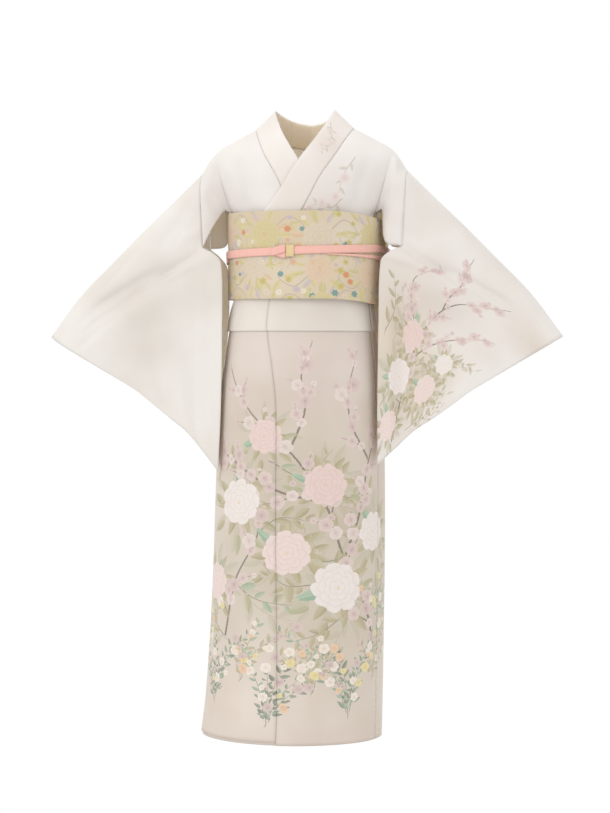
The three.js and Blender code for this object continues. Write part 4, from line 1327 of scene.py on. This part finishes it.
# Obi
# A long stiff length of doubled brocade, two turns round the body, with its outer
# end at the back
OBI_WALL = 2.2
OBI_HALF_WIDTH = 150
OBI_HALF_DEPTH = 114
OBI_TURN_STEP = 3
OBI_START_TURN = 0.1
OBI_END_TURN = 1.9
OBI_STEP_FROM = 0.92
OBI_STEP_SPAN = 0.16
OBI_DROOP = 13
OBI_FLAT_TURN = 832
# How far its edges turn in, and how far the cord presses in its middle
OBI_EDGE_IN = 0.7
OBI_EDGE_REACH = 1.6
CORD_PRESS = 0.9
CORD_PRESS_DOWN = 252
CORD_PRESS_REACH = 9

# Brocade: a woven ground of fine cords, with medallions, leaves, scrolls and florets
# laid over it in pale threads
woven_medallion = bloom_group(
    "woven medallion", [(10, 1.0, 0.0, 0.3), (8, 0.72, 0.5, 0.34), (5, 0.42, 0.0, 0.3)], 0.2,
    [(0.0, (214, 200, 180)), (0.25, (204, 192, 192)), (0.45, (216, 194, 168)), (0.7, (208, 194, 144))],
    [(0.0, (176, 158, 128)), (0.25, (166, 152, 160)), (0.45, (206, 156, 118)), (0.7, (176, 160, 98))],
    [(0.0, (204, 178, 118)), (0.45, (214, 146, 106))], ruffle=0.1, drawn=0.8, strength=0.85)
woven_floret = bloom_group(
    "woven floret", [(6, 1.0, 0.0, 0.45)], 0.34,
    [(0.0, (218, 206, 188)), (0.15, (196, 184, 192)), (0.3, (216, 182, 148)), (0.45, (196, 184, 108)),
     (0.6, (228, 222, 210)), (0.8, (92, 150, 150)), (0.9, (214, 142, 98))],
    [(0.0, (172, 154, 122)), (0.15, (150, 138, 150)), (0.3, (196, 140, 104)), (0.45, (164, 148, 78)),
     (0.6, (188, 172, 140)), (0.8, (58, 104, 108)), (0.9, (160, 92, 60))],
    [(0.0, (204, 172, 110)), (0.3, (200, 120, 84)), (0.6, (216, 160, 90))],
    ruffle=0.1, drawn=0.7, strength=0.9)
woven_leaf = leaf_group(
    "woven leaf",
    [(0.05, (204, 190, 132)), (0.35, (194, 184, 122)), (0.6, (190, 178, 180)), (0.85, (210, 178, 142))],
    [(0.05, (174, 158, 90)), (0.5, (162, 150, 156)), (0.9, (188, 138, 102))], 0.85)
OBI_WASHES = table(
    "u v across tall colour strength",
    (1090, 60, 60, 44, (206, 190, 176), 0.7),
    (1230, 120, 90, 50, (214, 200, 178), 0.8),
    (1360, 50, 80, 50, (216, 205, 190), 0.8),
    (1430, 140, 60, 40, (202, 186, 166), 0.6),
)

brocade_tree, brocade_given, brocade_result = group_of(
    "brocade weave", [("Place", "NodeSocketVector")],
    [("Thread", "NodeSocketFloat"), ("Height", "NodeSocketFloat")])
brocade_parts = node(brocade_tree, "ShaderNodeSeparateXYZ")
feed(brocade_tree, brocade_parts.inputs[0], brocade_given.outputs[0])
along, across = brocade_parts.outputs[0], brocade_parts.outputs[1]
cord_wave = calc(brocade_tree, "SINE", calc(brocade_tree, "MULTIPLY", across, 2 * math.pi / 1.4))
thread_wave = calc(brocade_tree, "SINE", calc(brocade_tree, "MULTIPLY", along, 2 * math.pi / 1.1))
woven = calc(brocade_tree, "MULTIPLY", cord_wave, thread_wave)
feed(brocade_tree, brocade_result.inputs[0], calc(brocade_tree, "MULTIPLY_ADD", woven, 0.5, 0.5))
feed(brocade_tree, brocade_result.inputs[1], calc(brocade_tree, "MULTIPLY_ADD", woven, 0.25, 0.5))

brocade, tree, shader = new_material("obi_brocade")
weave = use(tree, brocade_tree, Place=attribute(tree, "flat").outputs["Vector"])
colour = drawn_over(tree, attribute(tree, "ground").outputs["Color"], (
    ("back_leaf", woven_leaf), ("stem", stem_tree), ("leaf", woven_leaf),
    ("small_bloom", woven_floret), ("large_bloom", woven_medallion)))
shaded = calc(tree, "MULTIPLY", weave.outputs["Thread"], 0.16)
feed(tree, shader.inputs["Base Color"], mixed(tree, shaded, colour, paint((150, 128, 92))))
feed(tree, shader.inputs["Roughness"], calc(tree, "MULTIPLY_ADD", weave.outputs["Height"], -0.12, 0.56))
raise_threads(tree, shader, weave.outputs["Height"], 0.5, 0.0005)
shader.inputs["Sheen Weight"].default_value = 0.1


def woven_ground(u, v):
    return wash(u, v, (207, 189, 160), OBI_WASHES)


def woven_flora(seed, left, right, top, bottom):
    """Rows of medallions with leaves and florets round them and scrolls between."""
    made = Flora(seed)
    chance = made.rng
    for number, v in enumerate(steps(top + 42, bottom + 20, 78)):
        for u in steps(left + 52 * (number % 2), right, 104):
            x = u + chance.uniform(-9, 9)
            y = v + chance.uniform(-9, 9)
            size = chance.uniform(24, 31)
            turn = chance.uniform(0, 6)
            made.spot("large_bloom", x, y, size, turn, chance.choice((0.1, 0.1, 0.3, 0.5, 0.8)))
            made.ring_of_leaves(x, y, size * 1.32, size * 0.42, (0.05, 0.35, 0.6, 0.2, 0.85), 9, turn)
            made.ring_of_leaves(x, y, size * 1.8, size * 0.5, (0.05, 0.3), 7, turn + 0.3, "back_leaf")
            for way in (1, -1):
                made.stem([(x + way * a, y + way * b) for a, b in ((20, -14), (44, -34), (70, -16), (62, 4))],
                          1.8, 0.9)
            for k in range(10):
                heading = turn + k * 0.63 + chance.uniform(-0.2, 0.2)
                away = size * chance.uniform(1.5, 2.2)
                tone = chance.choice((0.05, 0.05, 0.2, 0.35, 0.35, 0.5, 0.5, 0.65, 0.65, 0.85, 0.95))
                made.spot("small_bloom", x + away * math.cos(heading), y + away * math.sin(heading),
                          chance.uniform(4, 7.5), heading, tone)
    return made


def obi_point(turn, down):
    angle = math.pi + 2 * math.pi * turn
    out = OBI_TURN_STEP * smooth((turn - OBI_STEP_FROM) / OBI_STEP_SPAN)
    droop = OBI_DROOP * max(0, math.sin(angle)) ** 4
    edge = min(down - OBI_TOP, OBI_BOTTOM - down)
    out -= OBI_EDGE_IN * math.exp(-edge / OBI_EDGE_REACH)
    out -= CORD_PRESS * math.exp(-(((down - CORD_PRESS_DOWN) / CORD_PRESS_REACH) ** 2))
    x = (OBI_HALF_WIDTH + out) * math.sin(angle)
    return Vector((x, -(OBI_HALF_DEPTH + out) * math.cos(angle), -down - droop))


obi_downs = [OBI_BOTTOM, 343.2, 341.5, 338] + steps(185, 333, 5)[::-1] + [180, 176.5, 174.8, OBI_TOP]
obi_grid, obi_flat = [], []
for turn in steps(OBI_START_TURN, OBI_END_TURN, 0.0075):
    obi_grid.append([obi_point(turn, down) for down in obi_downs])
    obi_flat.append([(turn * OBI_FLAT_TURN, down - OBI_TOP) for down in obi_downs])
obi = cloth("obi_turns", obi_grid, obi_flat, OBI_WALL, [brocade],
            ground=woven_ground, flowers=woven_flora(31, 60, 1600, 0, 170))
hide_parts("obi_wrap")


# Drum knot
# Behind, the obi stands out in a flat hollow drum with its tail below it, and the
# folded hand passes through the drum
DRUM_HALF_WIDTH = 150
DRUM_BEND = 14
HAND_WALL = 3.4
HAND_GAP = 0.8
CORD_WIDTH = 15.5
CORD_THICKNESS = 3.2
DRUM_PROFILE = table(
    "along y down",
    (0, 118.3, 178), (0.05, 122, 152), (0.11, 144, 138), (0.17, 166, 146), (0.23, 180, 175),
    (0.36, 188, 245), (0.48, 189, 310), (0.6, 184, 372), (0.69, 172, 410), (0.75, 153, 424),
    (0.82, 133, 418), (0.88, 124.9, 398), (1, 121.0, 336))
TAIL_PROFILE = table(
    "along y down", (0, 118.2, 330), (0.4, 118.5, 400), (0.75, 125, 455), (1, 129, 494))
DRUM_CREASES = table(
    "u v to_u to_v wide high",
    (-110, 130, -60, 330, 22, -1.2),
    (80, 120, 120, 320, 24, 1.2),
    (-20, 300, 60, 360, 14, -1.0),
)
DRUM_COLUMNS = 56


def drum_piece(name, profile, count, half_width, start):
    grid, flat = [], []
    length = start
    before = None
    for i in range(count + 1):
        y = read(profile, "along", i / count, "y")
        down = read(profile, "along", i / count, "down")
        if before:
            length += math.dist(before, (y, down))
        before = (y, down)
        xs = [lerp(half_width, -half_width, j / DRUM_COLUMNS) for j in range(DRUM_COLUMNS + 1)]
        grid.append([Vector((x, y - DRUM_BEND * (x / DRUM_HALF_WIDTH) ** 2, -down)) for x in xs])
        flat.append([(x, length) for x in xs])
    return cloth(name, grid, flat, OBI_WALL, [brocade], creases=lambda u, v: crease(DRUM_CREASES, u, v),
                 ground=woven_ground, flowers=woven_flora(37, -150, 150, start, length))


drum = drum_piece("obi_drum_cloth", DRUM_PROFILE, 110, DRUM_HALF_WIDTH, 0)
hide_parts("obi_drum")
tail = drum_piece("obi_tail_cloth", TAIL_PROFILE, 30, DRUM_HALF_WIDTH - 1, 600)
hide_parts("obi_tail")

CORD_LIFT = OBI_TURN_STEP + OBI_WALL / 2 + 0.4 + CORD_THICKNESS / 2
CORD_BACK_WIDTH = 179.6
CORD_BACK_DEPTH = 163.6
CORD_BACK_FROM = 0.5
CORD_BACK_SPAN = 0.16
HAND_TOP = 187
HAND_BOTTOM = 326
HAND_FROM = 0.655
HAND_COLUMNS = 90
HAND_FLAT_TURN = 500


def cord_point(around, down, out):
    angle = math.pi * around
    back = smooth((abs(around) - CORD_BACK_FROM) / CORD_BACK_SPAN)
    width = lerp(OBI_HALF_WIDTH + CORD_LIFT, CORD_BACK_WIDTH, back) + out
    depth = lerp(OBI_HALF_DEPTH + CORD_LIFT, CORD_BACK_DEPTH, back) + out
    return Vector((width * math.sin(angle), -depth * math.cos(angle), -down))


hand_lift = -(CORD_THICKNESS / 2 + HAND_GAP + HAND_WALL / 2)
hand_grid, hand_flat = [], []
hand_arounds = [lerp(HAND_FROM, 2 - HAND_FROM, j / HAND_COLUMNS) for j in range(HAND_COLUMNS + 1)]
for down in [HAND_TOP, 188.5, 191] + steps(196, 317, 6) + [322, 324.5, HAND_BOTTOM]:
    edge = min(down - HAND_TOP, HAND_BOTTOM - down)
    lift = hand_lift - 0.8 * math.exp(-edge / 2)
    hand_grid.append([cord_point(a - 2 if a > 1 else a, down, lift) for a in hand_arounds])
    hand_flat.append([(a * HAND_FLAT_TURN, down) for a in hand_arounds])
hand = cloth("obi_hand_cloth", hand_grid, hand_flat, HAND_WALL, [brocade],
             ground=woven_ground, flowers=woven_flora(41, 320, 680, HAND_TOP, HAND_BOTTOM))
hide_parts("obi_hand")


# Obijime
# A flat braided silk cord tied over the middle of the obi, its ends tucked in at
# the sides, with a knot and a woven gold band in front
braid_tree, braid_given, braid_result = group_of(
    "braid", [("Place", "NodeSocketVector")], [("Height", "NodeSocketFloat"), ("Thread", "NodeSocketFloat")])
braid_parts = node(braid_tree, "ShaderNodeSeparateXYZ")
feed(braid_tree, braid_parts.inputs[0], braid_given.outputs[0])


def ridges(place, width):
    """Even ridges of a width in millimetres across a braid."""
    turned_by = calc(braid_tree, "MULTIPLY", place, math.pi / width)
    return calc(braid_tree, "ABSOLUTE", calc(braid_tree, "SINE", turned_by))


braid_side = ridges(braid_parts.outputs[1], 5.2)
braid_along = calc(braid_tree, "MULTIPLY", braid_parts.outputs[0], 1 / 2.6)
braid_height = ridges(calc(braid_tree, "MULTIPLY_ADD", braid_side, 0.55, braid_along), 1)
braid_crown = calc(braid_tree, "MULTIPLY_ADD", braid_side, 0.4, 0.6)
feed(braid_tree, braid_result.inputs[0], calc(braid_tree, "MULTIPLY", braid_height, braid_crown))
feed(braid_tree, braid_result.inputs[1], braid_height)


def braid(name, groove_shade, light, metallic, roughness):
    material, tree, shader = new_material(name)
    threads = use(tree, braid_tree, Place=attribute(tree, "flat").outputs["Vector"])
    height = threads.outputs["Height"]
    # Painted shade: the colour follows the braid's ridges, darker in the grooves between them
    feed(tree, shader.inputs["Base Color"], ramp(tree, threads.outputs["Thread"], (0.05, groove_shade), (0.7, light)))
    feed(tree, shader.inputs["Roughness"], calc(tree, "MULTIPLY_ADD", height, -0.1, roughness))
    raise_threads(tree, shader, height, 0.6, 0.0008)
    shader.inputs["Metallic"].default_value = metallic
    shader.inputs["Sheen Weight"].default_value = 0.15
    return material


pink_braid = braid("pink_braid", (222, 156, 142), (238, 188, 174), 0.0, 0.6)
gold_braid = braid("gold_braid", (190, 158, 104), (226, 204, 156), 0.3, 0.46)


def strap(name, runs, skin, closed=False):
    """Flat cords with rounded edges, each swept along its rows of centres."""
    sides = 16
    points, faces, flats = [], [], []
    for rows in runs:
        base = len(points)
        for centre, outward, width, thickness, _ in rows:
            for k in range(sides):
                angle = 2 * math.pi * k / sides
                high = 0.5 * math.copysign(abs(math.cos(angle)) ** 0.35, math.cos(angle))
                deep = 0.5 * math.copysign(abs(math.sin(angle)) ** 0.6, math.sin(angle))
                points.append((centre + Vector((0, 0, high * width)) + outward * (deep * thickness)) / 1000)
        rings = len(rows)
        for i in range(rings if closed else rings - 1):
            for k in range(sides):
                m = (k + 1) % sides
                n = (i + 1) % rings
                faces.append([base + p for p in (i * sides + k, i * sides + m, n * sides + m, n * sides + k)])
                here = rows[i][4]
                ahead = rows[i][4] + (rows[i][0] - rows[n][0]).length
                spread = rows[i][2] / 2
                first = spread * math.cos(2 * math.pi * k / sides)
                second = spread * math.cos(2 * math.pi * (k + 1) / sides)
                flats += [here, first, 0, here, second, 0, ahead, second, 0, ahead, first, 0]
        if not closed:
            faces.append([base + k for k in reversed(range(sides))])
            faces.append([base + (rings - 1) * sides + k for k in range(sides)])
            flats += [0.0] * (6 * sides)
    mesh = bpy.data.meshes.new(name)
    mesh.from_pydata(points, [], faces)
    mesh.polygons.foreach_set("use_smooth", [True] * len(faces))
    mesh.attributes.new("flat", "FLOAT_VECTOR", "CORNER").data.foreach_set("vector", flats)
    mesh.materials.append(skin)
    made = bpy.data.objects.new(name, mesh)
    bpy.context.scene.collection.objects.link(made)
    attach(made, "root")
    return made


def cord_row(around, down, width, thickness, out, along):
    centre = cord_point(around, down, out)
    tangent = (cord_point(around + 0.002, down, out) - cord_point(around - 0.002, down, out)).normalized()
    return (centre, Vector((tangent.y, -tangent.x, 0)), width, thickness, along)


# The line of the cord, higher on the wearer's left than on the right
CORD_LINE = table(
    "around down", (-1, 253), (-0.62, 253), (-0.5, 256), (-0.1, 252.5), (0, 250.5), (0.25, 247),
    (0.5, 245), (0.7, 252), (1, 253))


def cord_line(around):
    return read(CORD_LINE, "around", around, "down")


cord_rows = []
for i in range(420):
    around = lerp(-1, 1, i / 420)
    cord_rows.append(cord_row(around, cord_line(around), CORD_WIDTH, CORD_THICKNESS, 0, i * 2.3))
cord = strap("obijime_cord", [cord_rows], pink_braid, closed=True)
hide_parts("obijime")


def cord_tail(name, solid, start, end, start_height, end_height, drift):
    rows = []
    for i in range(61):
        share = i / 60
        around = lerp(start, end, share)
        height = lerp(start_height, end_height, share)
        down = cord_line(around) + CORD_WIDTH / 2 + 0.4 + height / 2 + drift * share ** 1.3
        rows.append(cord_row(around, down, height, CORD_THICKNESS * 0.8, -0.2, i * 3.0))
    made = strap(name, [rows if start < end else list(reversed(rows))], pink_braid)
    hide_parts(solid)


cord_tail("cord_end_left", "obijime_tail_left", 0.12, 0.49, 2, 9, 8)
cord_tail("cord_end_right", "obijime_tail_right", -0.4, -0.49, 7, 10, 0)

# The knot: two turns of the cord that fan out from the wearer's right and cross
KNOT_FROM = -0.1
KNOT_TO = -0.042
KNOT_TURNS = table(
    "start_down end_down start_width end_width lift",
    (254, 260, 11, 12, 3.2), (253, 246.5, 13, 15, 5.6), (258, 251, 6, 9, 7.4))
knot_runs = []
for row in KNOT_TURNS:
    run = []
    for i in range(33):
        share = i / 32
        down = lerp(row["start_down"], row["end_down"], smooth(share))
        width = lerp(row["start_width"], row["end_width"], share) * (1 - 0.25 * (2 * share - 1) ** 6)
        lift = row["lift"] * math.sin(math.pi * (0.12 + 0.76 * share)) + 0.6
        run.append(cord_row(lerp(KNOT_FROM, KNOT_TO, share), down, width, 2.6, lift, i * 0.9))
    knot_runs.append(run)
knot = strap("cord_knot", knot_runs, pink_braid)
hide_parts("obijime_knot")

BAND_FROM = -0.0405
BAND_TO = -0.0085
band_rows = []
for i in range(25):
    share = i / 24
    lift = CORD_THICKNESS / 2 + 0.5 + 1.4 * math.sin(math.pi * share) ** 0.5
    around = lerp(BAND_FROM, BAND_TO, share)
    band_rows.append(cord_row(around, cord_line(around) + 0.5, CORD_WIDTH + 8, 2.2, lift, i * 0.8))
band = strap("gold_band", [band_rows], gold_braid)
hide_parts("obijime_band")
